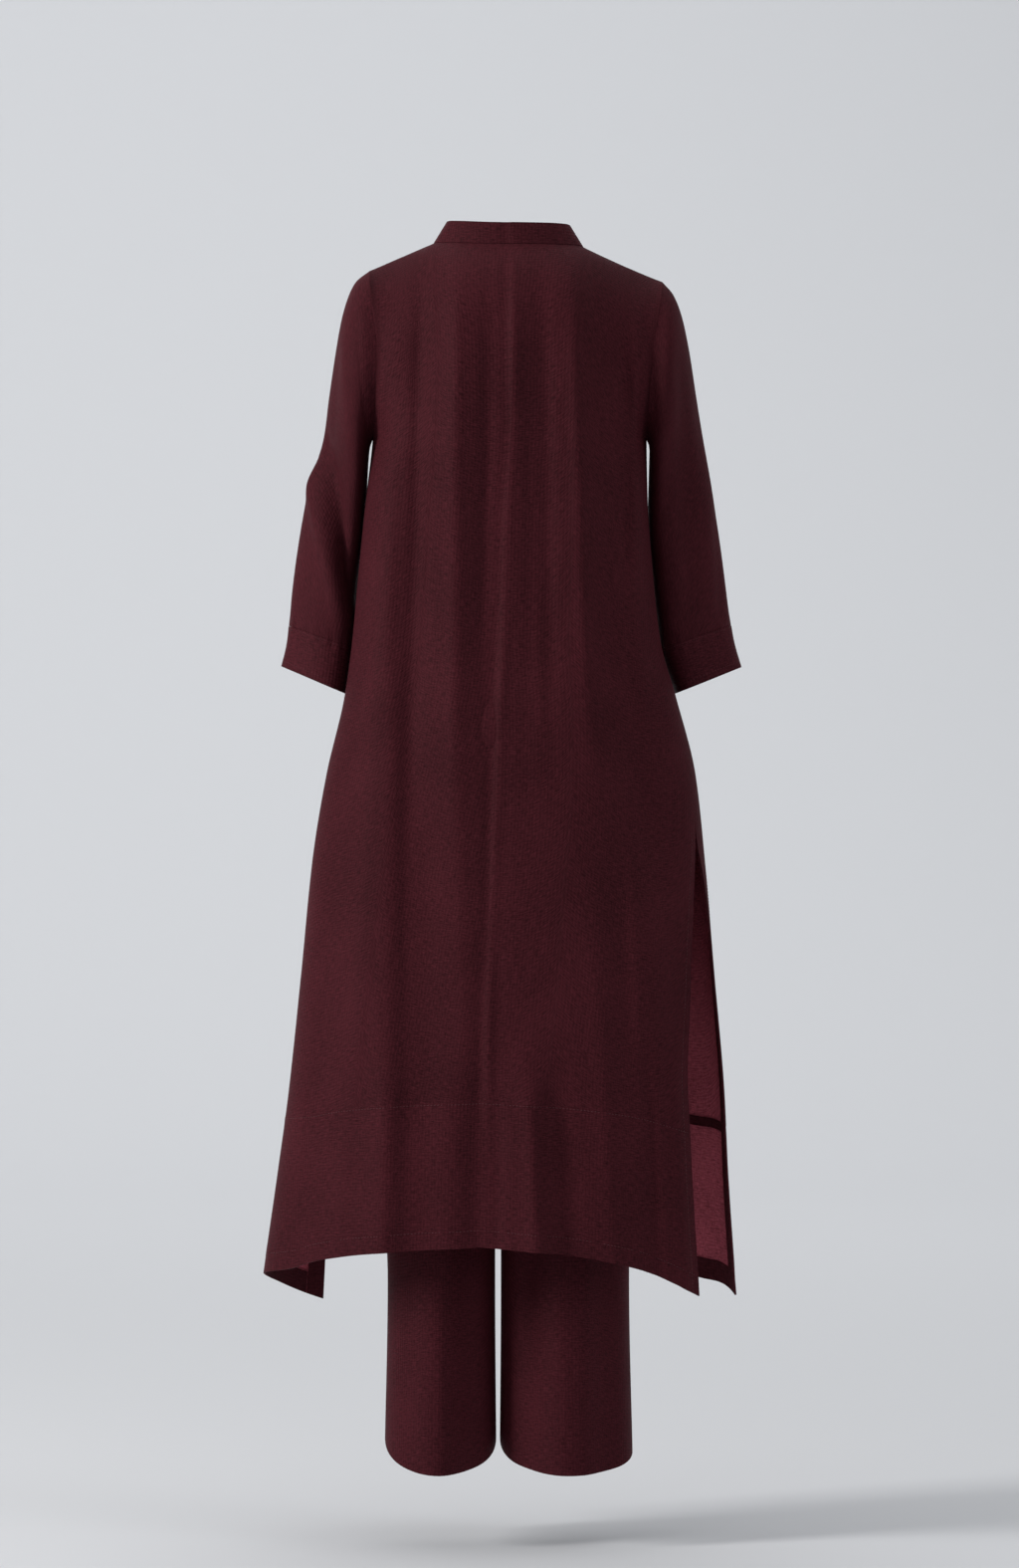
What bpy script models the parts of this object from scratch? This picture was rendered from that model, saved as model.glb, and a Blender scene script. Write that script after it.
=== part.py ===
"""Kaftan set: a collared, A-line kaftan over straight, wide-legged trousers, in worn form.

Metres, +Z up. The wearer's back faces -Y and the wearer's right side is +X.
The origin is the middle of the neck opening, level with the foot of the collar.
Each piece of cloth that a maker would cut is one thin solid wall. All the kaftan's
panels are cut from one surface, so that neighbours meet along their seams.
"""
import math
from collections import namedtuple

import bpy
import numpy as np

# Cloth
CLOTH = 0.0014
COLLAR_CLOTH = 0.0020
TURNING_CLOTH = 0.0010
CUFF_CLOTH = 0.0018
WAISTBAND_CLOTH = 0.0020
SEAM_GAP = 0.0003
KAFTAN_COLOR = (0.060, 0.013, 0.018)
TURNED_COLOR = (0.045, 0.010, 0.014)
TROUSER_COLOR = (0.058, 0.013, 0.017)
CLOTH_ROUGHNESS = 0.62
TURNED_ROUGHNESS = 0.66

# Kaftan, heights from the collar's foot
NECK_HALF_WIDTH = 0.090
NECK_DROP_BACK = 0.006
NECK_DROP_FRONT = 0.066
NECK_FRONT_ROUNDNESS = 0.55
NECK_SLIT_HALF_WIDTH = 0.0016
COLLAR_HEIGHT = 0.026
COLLAR_LEAN = 0.016
COLLAR_GAP_SHARE = 0.60
SHOULDER_RISE_AT_NECK = 0.012
YOKE_ROUND_BACK = 0.105
YOKE_ROUND_FRONT = 0.180
UNDERARM_Z = -0.235
BAND_SEAM_Z = -1.0250
BAND_SEAM_SHARE_OF_HEM_DROP = 0.62
SLIT_TOP_Z = -0.708
BACK_LENGTH = 1.197
FRONT_LENGTH = 1.185
SLIT_TURNING_SHARE = 0.052
TURNING_CLEARANCE = 0.0008
HEM_TURNING = 0.022
BAND_SEAM_ALLOWANCE = 0.008
SLIT_FLARE = 0.046
FLARE_START = 128
FLARE_FULL_Z = -1.05
ARMHOLE_SETBACK_TOP = 0.0019
ARMHOLE_SETBACK_UNDER = 0.0027

# Trousers: heights, and how square the section is, where 1 is round
WAIST_Z = -0.455
SEAT_Z = -0.600
CROTCH_Z = -0.715
WAISTBAND_HEIGHT = 0.036
WAISTBAND_TAPER_WIDTH = 0.004
WAISTBAND_TAPER_DEPTH = 0.003
TROUSER_SHIFT = -0.0126
TROUSER_HEM_INSIDE = -1.437
TROUSER_HEM_SIDE_LEFT = -1.434
TROUSER_HEM_SIDE_RIGHT = -1.453
TROUSER_HEM_BACK = -1.474
TROUSER_HEM_FRONT = -1.446
TROUSER_HEM_CURVE = 0.8
TROUSER_SQUARENESS = 0.92

# Grid steps, and how far the collar and the sleeve's rings reach or crowd
COLUMNS_HALF = 13
COLUMNS_NECK = 6
NECK_COLUMN_LIMIT = 30
ROWS_YOKE = 10
ROWS_WAIST = 11
ROWS_SKIRT = 7
BAND_MIDDLE_STEPS = (0.34, 0.62)
COLLAR_ROWS = 2
SLEEVE_SIDES = 24
SLEEVE_RINGS = 20
CUFF_RINGS = 3
RING_CROWDING = 1.25
LEG_ROWS = 18
LEG_COLUMNS = 9
WAISTBAND_SIDES = 36
WAISTBAND_ROWS = 2

# Torso sections: height, half-widths as seen from behind, depths behind and before the middle,
# and the roundness of the section, where 2 is an ellipse.
Section = namedtuple("Section", "z left right back front roundness")
SECTIONS = [
    Section(0.020, 0.166, 0.186, 0.100, 0.095, 2.5),
    Section(-0.045, 0.166, 0.185, 0.108, 0.100, 2.5),
    Section(-0.130, 0.157, 0.1725, 0.118, 0.112, 2.5),
    Section(-0.235, 0.163, 0.1660, 0.120, 0.128, 2.5),
    Section(-0.310, 0.1715, 0.1672, 0.116, 0.134, 2.5),
    Section(-0.400, 0.1805, 0.1738, 0.112, 0.128, 2.4),
    Section(-0.480, 0.188, 0.183, 0.115, 0.124, 2.3),
    Section(-0.545, 0.197, 0.201, 0.122, 0.128, 2.3),
    Section(-0.640, 0.219, 0.225, 0.133, 0.136, 2.2),
    Section(-0.740, 0.2355, 0.2360, 0.138, 0.142, 2.2),
    Section(-0.880, 0.2495, 0.2485, 0.144, 0.148, 2.2),
    Section(-1.025, 0.2650, 0.2620, 0.150, 0.154, 2.1),
    Section(-1.120, 0.2780, 0.2670, 0.154, 0.158, 2.1),
    Section(-1.240, 0.2950, 0.2760, 0.158, 0.162, 2.1),
    Section(-1.320, 0.3050, 0.2820, 0.160, 0.165, 2.1),
]

# Each shoulder seam: how far it lies below the other at the neck, its fall, and how that grows.
Shoulder = namedtuple("Shoulder", "drop fall curve")
SHOULDER_LEFT = Shoulder(0.0000, 0.425, 0.10)
SHOULDER_RIGHT = Shoulder(0.0045, 0.490, -0.50)

# Where the seams run round the torso, in degrees from the middle of the back,
# positive towards +X. Below the slits' tops the back and the front edges part.
Seams = namedtuple("Seams", "z centre right_back right_front left_back left_front")
SEAMS = [
    Seams(-0.235, 0.0, 90.0, 90.0, -90.0, -90.0),
    Seams(-0.400, -1.5, 86.0, 86.0, -94.0, -94.0),
    Seams(-0.560, -3.0, 80.0, 80.0, -101.0, -101.0),
    Seams(-0.660, -3.7, 75.4, 75.4, -107.0, -107.0),
    Seams(-0.708, -4.0, 72.6, 73.2, -110.0, -110.6),
    Seams(-0.780, -4.3, 66.2, 80.0, -114.0, -115.5),
    Seams(-0.880, -5.0, 59.6, 87.0, -119.0, -121.5),
    Seams(-1.025, -6.0, 53.8, 92.0, -125.0, -128.5),
    Seams(-1.120, -6.0, 54.0, 94.0, -128.0, -132.0),
    Seams(-1.240, -6.0, 54.0, 96.0, -131.0, -135.5),
    Seams(-1.320, -6.0, 53.5, 97.0, -132.0, -137.0),
]

# How far each hem hangs below its middle, by share of the way out to the side edge.
HemDrop = namedtuple("HemDrop", "share back_left back_right front_left front_right")
HEM_DROPS = [
    HemDrop(0.00, 0.0000, 0.0000, 0.0000, 0.0000),
    HemDrop(0.20, 0.0075, 0.0050, 0.0025, 0.0060),
    HemDrop(0.35, 0.0190, 0.0100, 0.0050, 0.0220),
    HemDrop(0.45, 0.0315, 0.0145, 0.0080, 0.0400),
    HemDrop(0.65, 0.0420, 0.0270, 0.0165, 0.0685),
    HemDrop(0.80, 0.0550, 0.0410, 0.0240, 0.0730),
    HemDrop(1.00, 0.0845, 0.0620, 0.0400, 0.0870),
]

# The large folds: side of the body, where each starts and ends, its spread and its height,
# which is negative for a hollow.
Fold = namedtuple("Fold", "side top_x top_z foot_x foot_z spread height")
FOLDS = [
    Fold("back", -0.060, -0.03, -0.062, -0.62, 0.022, 0.0055),
    Fold("back", -0.100, -0.05, -0.112, -0.64, 0.018, -0.0045),
    Fold("back", -0.128, -0.10, -0.150, -0.50, 0.018, 0.0040),
    Fold("back", -0.142, -0.42, -0.162, -1.24, 0.030, 0.0080),
    Fold("back", -0.104, -0.62, -0.096, -1.24, 0.024, -0.0060),
    Fold("back", -0.012, -0.05, -0.034, -0.50, 0.013, -0.0028),
    Fold("back", 0.036, -0.03, 0.034, -0.44, 0.015, -0.0035),
    Fold("back", 0.078, -0.05, 0.090, -0.52, 0.020, 0.0050),
    Fold("back", 0.118, -0.06, 0.126, -0.45, 0.016, -0.0035),
    Fold("back", 0.110, -0.40, 0.182, -0.80, 0.026, -0.0050),
    Fold("back", 0.090, -0.72, 0.134, -1.24, 0.032, 0.0045),
    Fold("back", 0.022, -0.98, 0.030, -1.24, 0.020, 0.0065),
    Fold("back", 0.060, -1.00, 0.070, -1.24, 0.016, -0.0040),
    Fold("back", -0.030, -1.00, -0.030, -1.24, 0.018, -0.0035),
    Fold("back", 0.164, -0.78, 0.190, -1.24, 0.020, 0.0065),
    Fold("front", -0.070, -0.36, -0.100, -0.80, 0.026, 0.0035),
    Fold("front", 0.074, -0.38, 0.112, -0.84, 0.028, 0.0040),
    Fold("front", 0.000, -0.42, -0.012, -1.00, 0.026, -0.0050),
    Fold("front", -0.052, -0.66, -0.068, -1.24, 0.028, 0.0085),
    Fold("front", 0.046, -0.60, 0.072, -1.24, 0.030, 0.0080),
    Fold("front", -0.150, -0.66, -0.176, -1.24, 0.026, 0.0060),
    Fold("front", 0.150, -0.70, 0.186, -1.24, 0.028, -0.0060),
    Fold("front", 0.110, -0.90, 0.130, -1.24, 0.020, -0.0050),
    Fold("front", -0.108, -0.88, -0.124, -1.24, 0.020, -0.0055),
]

# The sleeves' folds: the sharp one across the left elbow, and softer ones
SLEEVE_FOLDS_LEFT = [
    Fold("back", -0.222, -0.238, -0.190, -0.405, 0.013, -0.0060),
    Fold("back", -0.236, -0.262, -0.204, -0.430, 0.014, 0.0050),
    Fold("back", -0.182, -0.070, -0.178, -0.220, 0.012, -0.0030),
    Fold("front", -0.225, -0.240, -0.196, -0.360, 0.016, -0.0050),
    Fold("front", -0.238, -0.330, -0.222, -0.440, 0.014, 0.0030),
]
SLEEVE_FOLDS_RIGHT = [
    Fold("back", 0.184, -0.060, 0.190, -0.220, 0.012, 0.0030),
    Fold("back", 0.205, -0.240, 0.214, -0.420, 0.016, -0.0030),
    Fold("back", 0.232, -0.260, 0.244, -0.440, 0.014, 0.0030),
    Fold("front", 0.226, -0.240, 0.190, -0.370, 0.016, -0.0050),
    Fold("front", 0.240, -0.330, 0.222, -0.440, 0.014, 0.0030),
]

# The soft folds down the trouser legs
TROUSER_FOLDS = [
    Fold("back", -0.100, -0.80, -0.106, -1.46, 0.022, 0.0070),
    Fold("back", -0.045, -0.90, -0.044, -1.46, 0.018, -0.0080),
    Fold("back", 0.050, -0.80, 0.068, -1.46, 0.022, 0.0080),
    Fold("back", 0.020, -0.95, 0.020, -1.46, 0.014, -0.0060),
    Fold("back", 0.115, -0.85, 0.118, -1.46, 0.022, -0.0060),
    Fold("front", -0.080, -0.60, -0.082, -1.46, 0.018, 0.0090),
    Fold("front", 0.072, -0.60, 0.074, -1.46, 0.018, 0.0090),
    Fold("front", -0.036, -0.85, -0.038, -1.46, 0.016, -0.0050),
    Fold("front", 0.118, -0.85, 0.116, -1.46, 0.018, -0.0050),
]

# Sleeves: outer and inner edge as seen from behind, half the depth, how far forward the middle
# lies, and how far the back of the sleeve leans in towards the body. The first row is the
# armhole, the last is the seam with the cuff.
Ring = namedtuple("Ring", "step outer_x outer_z inner_x inner_z half_depth middle_y skew")
ARMHOLE_LEFT = Ring(0.00, -0.166, -0.033, -0.165, -0.235, 0.068, 0.000, 0.00)
ARMHOLE_RIGHT = Ring(0.00, 0.185, -0.047, 0.166, -0.235, 0.068, 0.000, 0.00)
SLEEVE_LEFT = [
    ARMHOLE_LEFT,
    Ring(0.05, -0.184, -0.047, -0.1672, -0.243, 0.072, 0.001, 0.00),
    Ring(0.11, -0.195, -0.070, -0.1684, -0.250, 0.074, 0.004, 0.04),
    Ring(0.20, -0.205, -0.112, -0.1696, -0.262, 0.074, 0.011, 0.12),
    Ring(0.34, -0.2165, -0.182, -0.1716, -0.290, 0.072, 0.026, 0.26),
    Ring(0.45, -0.2235, -0.231, -0.1736, -0.318, 0.069, 0.039, 0.34),
    Ring(0.58, -0.2415, -0.290, -0.1766, -0.355, 0.065, 0.049, 0.40),
    Ring(0.75, -0.2565, -0.370, -0.1808, -0.412, 0.060, 0.055, 0.40),
    Ring(0.90, -0.2640, -0.430, -0.1850, -0.462, 0.057, 0.059, 0.40),
    Ring(1.00, -0.2660, -0.459, -0.1875, -0.487, 0.055, 0.060, 0.40),
]
SLEEVE_RIGHT = [
    ARMHOLE_RIGHT,
    Ring(0.05, 0.198, -0.062, 0.1698, -0.243, 0.072, 0.001, 0.00),
    Ring(0.11, 0.208, -0.086, 0.1706, -0.250, 0.074, 0.004, 0.04),
    Ring(0.20, 0.216, -0.120, 0.1704, -0.262, 0.074, 0.011, 0.12),
    Ring(0.34, 0.2265, -0.182, 0.1700, -0.290, 0.072, 0.026, 0.26),
    Ring(0.45, 0.2355, -0.234, 0.1696, -0.320, 0.069, 0.039, 0.34),
    Ring(0.58, 0.2465, -0.295, 0.1706, -0.355, 0.065, 0.049, 0.40),
    Ring(0.75, 0.2585, -0.372, 0.1752, -0.412, 0.060, 0.055, 0.40),
    Ring(0.90, 0.2660, -0.430, 0.1805, -0.462, 0.057, 0.059, 0.40),
    Ring(1.00, 0.2695, -0.458, 0.1840, -0.488, 0.055, 0.060, 0.40),
]
CUFF_LEFT = [
    Ring(0.0, -0.2661, -0.4594, -0.1876, -0.4874, 0.0550, 0.060, 0.40),
    Ring(0.5, -0.2700, -0.4840, -0.1915, -0.5150, 0.0560, 0.061, 0.40),
    Ring(1.0, -0.2760, -0.5080, -0.1960, -0.5420, 0.0575, 0.062, 0.40),
]
CUFF_RIGHT = [
    Ring(0.0, 0.2696, -0.4584, 0.1841, -0.4884, 0.0550, 0.060, 0.40),
    Ring(0.5, 0.2755, -0.4840, 0.1925, -0.5150, 0.0560, 0.061, 0.40),
    Ring(1.0, 0.2830, -0.5090, 0.2030, -0.5410, 0.0575, 0.062, 0.40),
]

# Trousers: inner and outer edge of a leg, and half its depth, at each height
Leg = namedtuple("Leg", "z inner outer_left outer_right half_depth")
LEGS = [
    Leg(-0.455, 0.004, 0.142, 0.142, 0.104),
    Leg(-0.520, 0.004, 0.158, 0.158, 0.1125),
    Leg(-0.600, 0.004, 0.172, 0.172, 0.1275),
    Leg(-0.715, 0.004, 0.176, 0.176, 0.116),
    Leg(-0.900, 0.004, 0.160, 0.168, 0.098),
    Leg(-1.080, 0.004, 0.144, 0.160, 0.088),
    Leg(-1.250, 0.004, 0.1325, 0.1575, 0.082),
    Leg(-1.470, 0.0025, 0.1365, 0.1620, 0.080),
]


def smooth(table, field, at, key="z"):
    """A table's column read at a place between its rows, on a curve that never overshoots."""
    rows = sorted(table, key=lambda row: getattr(row, key))
    xs = np.array([getattr(row, key) for row in rows])
    ys = np.array([getattr(row, field) for row in rows])
    at = min(max(at, xs[0]), xs[-1])
    steps = np.diff(xs)
    slopes = np.diff(ys) / steps
    tangents = np.zeros(len(xs))
    tangents[0] = slopes[0]
    tangents[-1] = slopes[-1]
    for i in range(1, len(xs) - 1):
        if slopes[i - 1] * slopes[i] > 0:
            tangents[i] = 2 / (1 / slopes[i - 1] + 1 / slopes[i])
    i = min(int(np.searchsorted(xs, at, side="right")) - 1, len(steps) - 1)
    u = (at - xs[i]) / steps[i]
    start = (1 + 2 * u) * (1 - u) ** 2 * ys[i] + u * (1 - u) ** 2 * steps[i] * tangents[i]
    end = u * u * (3 - 2 * u) * ys[i + 1] + u * u * (u - 1) * steps[i] * tangents[i + 1]
    return start + end


def ease(low, high, value):
    """0 at low, 1 at high, with a soft start and end."""
    u = min(max((value - low) / (high - low), 0.0), 1.0)
    return u * u * (3 - 2 * u)


def signed_power(value, power):
    return math.copysign(abs(value) ** power, value)


def fold_height(x, z, side):
    """How far the large folds push the cloth out at this place."""
    height = 0.0
    for fold in FOLDS:
        if fold.side != side:
            continue
        along = (fold.top_z - z) / (fold.top_z - fold.foot_z)
        if along < -0.25:
            continue
        middle = fold.top_x + (fold.foot_x - fold.top_x) * along
        strength = ease(-0.25, 0.25, along)
        if fold.foot_z > -1.2:
            strength *= 1 - ease(0.75, 1.30, along)
        height += fold.height * strength * math.exp(-(((x - middle) / fold.spread) ** 2))
    return height


def shoulder_z(x):
    """Height of the shoulder seam's line at this distance from the neck's middle."""
    side = SHOULDER_RIGHT if x > 0 else SHOULDER_LEFT
    beyond = abs(x) - NECK_HALF_WIDTH
    if beyond < 0:
        share = (x / NECK_HALF_WIDTH) ** 2
        return SHOULDER_RISE_AT_NECK * (1 - share) - side.drop * share
    return -side.drop - side.fall * beyond - side.curve * beyond * beyond


def armhole_share(x, z):
    """1 half way down the armhole, and 0 at the shoulder seam and at the underarm."""
    top = shoulder_z(x)
    middle = (top + UNDERARM_Z) / 2
    half = (top - UNDERARM_Z) / 2
    return math.sqrt(max(0.0, 1 - ((z - middle) / half) ** 2))


def slit_flare(angle, z):
    """How far forward the front's edge swings beside the open slit on the right."""
    if not 0 < angle < FLARE_START:
        return 0.0
    swing = ((FLARE_START - angle) / (FLARE_START - 90)) ** 1.6
    lower = 1 - ease(FLARE_FULL_Z, SLIT_TOP_Z, z)
    return SLIT_FLARE * min(swing, 1.0) * ease(62, 86, angle) * lower


def torso(angle, z):
    """A point of the kaftan's middle surface, by angle round the body and height."""
    radians = math.radians(angle)
    turn = math.sin(radians)
    back = math.cos(radians) >= 0
    roundness = smooth(SECTIONS, "roundness", z)
    width = smooth(SECTIONS, "right" if turn > 0 else "left", z)
    depth = smooth(SECTIONS, "back" if back else "front", z)
    x = width * signed_power(turn, 2 / roundness)
    flat = 1 - ease(-0.30, -0.10, z)
    power = 2 / (1 + (roundness - 1) * flat)
    reach = abs(math.cos(radians)) ** power
    over = min(max((shoulder_z(x) - z) / (YOKE_ROUND_BACK if back else YOKE_ROUND_FRONT), 0.0), 1.0)
    rounding = math.sqrt(max(0.0, 1 - (1 - over) ** 2))
    arm = 0.0
    if z > UNDERARM_Z:
        share = armhole_share(x, z) ** (1 + 3 * reach)
        arm = ARMHOLE_LEFT.half_depth * share * (1 - reach) ** 1.5
    y = max(depth * reach * rounding + arm, SEAM_GAP / 2 if z > UNDERARM_Z else 0.0)
    y += fold_height(x, z, "back" if back else "front") * min(1.0, 1.6 * reach) * rounding
    return np.array([x, (-y if back else y) + slit_flare(angle, z), z])


def seam_angle(name, z):
    return smooth(SEAMS, name, z)


def angle_at_x(x, z, back=True):
    """The angle whose surface point lies at this x, for a place behind or before the middle."""
    roundness = smooth(SECTIONS, "roundness", z)
    width = smooth(SECTIONS, "right" if x > 0 else "left", z)
    share = min(1.0, abs(x) / width)
    angle = math.degrees(math.asin(share ** (roundness / 2)))
    if not back:
        angle = 180 - angle
    return math.copysign(angle, x)


def triangles(loop, points):
    """A grid cell cut along its shorter diagonal, so that cloth laid on cloth is cut the same way."""
    a, b, c, d = [points[row, column % points.shape[1]] for row, column in loop]
    if np.linalg.norm(a - c) <= np.linalg.norm(b - d):
        return [[loop[0], loop[1], loop[2]], [loop[0], loop[2], loop[3]]]
    return [[loop[0], loop[1], loop[3]], [loop[1], loop[2], loop[3]]]


def wall_mesh(name, points, normals, thickness, lift=0.0, closed=False, keep=None):
    """One solid wall round a grid of points: rows down the cloth, columns across it."""
    rows, columns = points.shape[:2]
    across = columns if closed else columns - 1
    if keep is None:
        keep = np.ones((rows - 1, across), bool)
    outer = points + normals * (lift + thickness / 2)
    inner = points + normals * (lift - thickness / 2)
    number = {}
    vertices = []

    def corner(layer, row, column):
        key = (layer, row, column % columns)
        if key not in number:
            number[key] = len(vertices)
            vertices.append(tuple((outer if layer else inner)[row, column % columns]))
        return number[key]

    faces = []
    edges = {}
    for row in range(rows - 1):
        for column in range(across):
            if not keep[row, column]:
                continue
            loop = [(row, column), (row + 1, column), (row + 1, column + 1), (row, column + 1)]
            for part in triangles(loop, points):
                faces.append([corner(1, *place) for place in part])
                faces.append([corner(0, *place) for place in reversed(part)])
            for start, end in zip(loop, loop[1:] + loop[:1]):
                start = (start[0], start[1] % columns)
                end = (end[0], end[1] % columns)
                if (end, start) in edges:
                    del edges[(end, start)]
                else:
                    edges[(start, end)] = True
    for start, end in edges:
        faces.append([corner(1, *end), corner(1, *start), corner(0, *start), corner(0, *end)])
    if np.sum(grid_normals(points, closed) * normals) < 0:
        faces = [list(reversed(face)) for face in faces]
    mesh = bpy.data.meshes.new(name)
    mesh.from_pydata(vertices, [], faces)
    mesh.validate()
    mesh.update()
    return mesh


def add_piece(name, mesh, material):
    mesh.materials.append(material)
    mesh.shade_smooth()
    mesh.set_sharp_from_angle(angle=math.radians(50))
    piece = bpy.data.objects.new(name, mesh)
    bpy.context.scene.collection.objects.link(piece)
    return piece


def torso_normal(angle, z):
    """The way out of the kaftan's surface, from its slopes round and down the body."""
    turn = 0.6
    drop = 0.0015
    around = torso(angle + turn, z) - torso(angle - turn, z)
    down = torso(angle, z - drop) - torso(angle, z + drop)
    normal = np.cross(down, around)
    return normal / np.linalg.norm(normal)


def grid_normals(points, closed=False):
    """Normals of a grid from its own neighbours, pointing out of a tube wound right-handed."""
    if closed:
        around = np.roll(points, -1, axis=1) - np.roll(points, 1, axis=1)
    else:
        around = np.gradient(points, axis=1)
    down = np.gradient(points, axis=0)
    normals = np.cross(down, around)
    return normals / np.linalg.norm(normals, axis=2, keepdims=True)


def neckline_z(x, back):
    """Height of the neck's edge, which hangs a little lower towards the lower shoulder."""
    share = max(0.0, 1 - (x / NECK_HALF_WIDTH) ** 2)
    drop = (SHOULDER_RIGHT if x > 0 else SHOULDER_LEFT).drop * (1 - share)
    if back:
        return -NECK_DROP_BACK * share - drop
    return -NECK_DROP_FRONT * share ** NECK_FRONT_ROUNDNESS - drop


def top_z(angle, back):
    """Height of a panel's top edge, neckline or shoulder seam, at this angle."""
    z = -0.02
    for _ in range(6):
        roundness = smooth(SECTIONS, "roundness", z)
        turn = math.sin(math.radians(angle))
        width = smooth(SECTIONS, "right" if turn > 0 else "left", z)
        x = width * signed_power(turn, 2 / roundness)
        if abs(x) < NECK_HALF_WIDTH:
            z = neckline_z(x, back)
        else:
            z = shoulder_z(x)
    return z


def yoke_z(angle, share, step, back):
    """Height of a grid point between a panel's top edge and the underarm."""
    top = top_z(angle, back)
    shoulder = ease(0.40, 0.60, share)
    even = step ** (1 + 0.9 * shoulder)
    edge = (1 - math.cos(math.pi * step)) / 2
    down = even + (edge - even) * ease(0.80, 1.0, share)
    return top + (UNDERARM_Z - top) * down


def hem_z(side, share):
    length = BACK_LENGTH if side.startswith("back") else FRONT_LENGTH
    return -length - smooth(HEM_DROPS, side, share, key="share")


def band_seam_z(side, share):
    lift = BACK_LENGTH + BAND_SEAM_Z
    drop = hem_z(side, 0) - hem_z(side, share)
    return hem_z(side, 0) + lift - BAND_SEAM_SHARE_OF_HEM_DROP * drop


def trimmed(angle, z, inward):
    """An edge's angle moved half a seam gap into its own panel."""
    z = min(z, UNDERARM_Z)
    step = 0.02
    speed = np.linalg.norm(torso(angle + step, z) - torso(angle - step, z)) / (2 * step)
    return angle + inward * SEAM_GAP / 2 / speed


def half_shares(back, sign):
    """Where a panel's columns stand, from 0 at the middle to 1 at the side."""
    neck = abs(angle_at_x(sign * NECK_HALF_WIDTH, neckline_z(NECK_HALF_WIDTH, back)))
    outer = COLUMNS_HALF - COLUMNS_NECK - 1
    turned = 1 - SLIT_TURNING_SHARE
    neck_share = neck / 90
    shares = [neck_share * i / COLUMNS_NECK for i in range(COLUMNS_NECK)]
    shares += [neck_share + (turned - neck_share) * i / outer for i in range(outer + 1)]
    return shares + [1.0]


def side_angle(side, z):
    """The angle of a panel's side edge: its seam, and lower down its slit."""
    names = {"back_left": "left_back", "back_right": "right_back",
             "front_left": "left_front", "front_right": "right_front"}
    angle = seam_angle(names[side], z)
    if side == "front_right":
        angle = max(angle, seam_angle("right_back", z))
    if side == "front_left":
        angle = 360 + min(angle, seam_angle("left_back", z))
    inward = {"back_left": 1, "back_right": -1, "front_left": -1, "front_right": 1}[side]
    return trimmed(angle, z, inward)


def middle_angle(side, z):
    """The angle of a panel's middle line: centre-back seam, or the front's centre line."""
    angle = seam_angle("centre", z)
    if side.startswith("front"):
        return 180 + angle
    return trimmed(angle, z, -1 if side == "back_left" else 1)


def column_angle(side, share, z):
    middle = middle_angle(side, z)
    return middle + share * (side_angle(side, z) - middle)


def panel_place(side, share, row_z):
    angle = column_angle(side, share, row_z)
    return torso(angle, row_z), torso_normal(angle, row_z)


def panel_rows(side, shares):
    """A body panel's points and normals from its top edge to the hem band's seam."""
    places = []
    for row in range(ROWS_YOKE + ROWS_WAIST + ROWS_SKIRT + 1):
        line = []
        for share in shares:
            if row <= ROWS_YOKE:
                angle = column_angle(side, share, UNDERARM_Z)
                z = yoke_z(angle, share, row / ROWS_YOKE, side.startswith("back"))
            elif row <= ROWS_YOKE + ROWS_WAIST:
                z = UNDERARM_Z + (SLIT_TOP_Z - UNDERARM_Z) * (row - ROWS_YOKE) / ROWS_WAIST
            else:
                foot = band_seam_z(side, share) + SEAM_GAP / 2
                z = SLIT_TOP_Z + (foot - SLIT_TOP_Z) * (row - ROWS_YOKE - ROWS_WAIST) / ROWS_SKIRT
            place, normal = panel_place(side, share, z)
            if row == 0 and abs(place[0]) > NECK_HALF_WIDTH * 0.99:
                normal = np.array([normal[0], 0.0, normal[2]]) / math.hypot(normal[0], normal[2])
            line.append((place, normal))
        places.append(line)
    return places


def band_steps():
    """How far down the hem band each of its rows lies."""
    height = BACK_LENGTH + BAND_SEAM_Z
    return [0.0, BAND_SEAM_ALLOWANCE / height, *BAND_MIDDLE_STEPS, 1 - HEM_TURNING / height, 1.0]


def band_rows(side, shares):
    places = []
    for step in band_steps():
        line = []
        for share in shares:
            top = band_seam_z(side, share) - SEAM_GAP / 2
            z = top + (hem_z(side, share) - top) * step
            line.append(panel_place(side, share, z))
        places.append(line)
    return places


def split(places):
    points = np.array([[place[0] for place in line] for line in places])
    normals = np.array([[place[1] for place in line] for line in places])
    return points, normals


def joined(left_rows, right_rows, drop_middle):
    """Two halves side by side, the first turned round so that its middle meets the second's."""
    start = 1 if drop_middle else 0
    return [list(reversed(left)) + right[start:] for left, right in zip(left_rows, right_rows)]


def make_back(material):
    for side in ("back_left", "back_right"):
        sign = -1 if side == "back_left" else 1
        rows = panel_rows(side, half_shares(True, sign))
        if side == "back_left":
            rows = [list(reversed(line)) for line in rows]
        points, normals = split(rows)
        add_piece(side, wall_mesh(side, points, normals, CLOTH), material)
    halves = [band_rows(side, half_shares(True, sign))
              for side, sign in (("back_left", -1), ("back_right", 1))]
    points, normals = split(joined(halves[0], halves[1], True))
    add_piece("hem_band_back", wall_mesh("hem_band_back", points, normals, CLOTH), material)


def front_shares(sign):
    """The front's columns, with the first one moved out to the neck slit's edge."""
    shares = half_shares(False, sign)
    slit = abs(angle_at_x(sign * NECK_SLIT_HALF_WIDTH, UNDERARM_Z)) / 90
    return [slit] + shares[1:]


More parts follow.
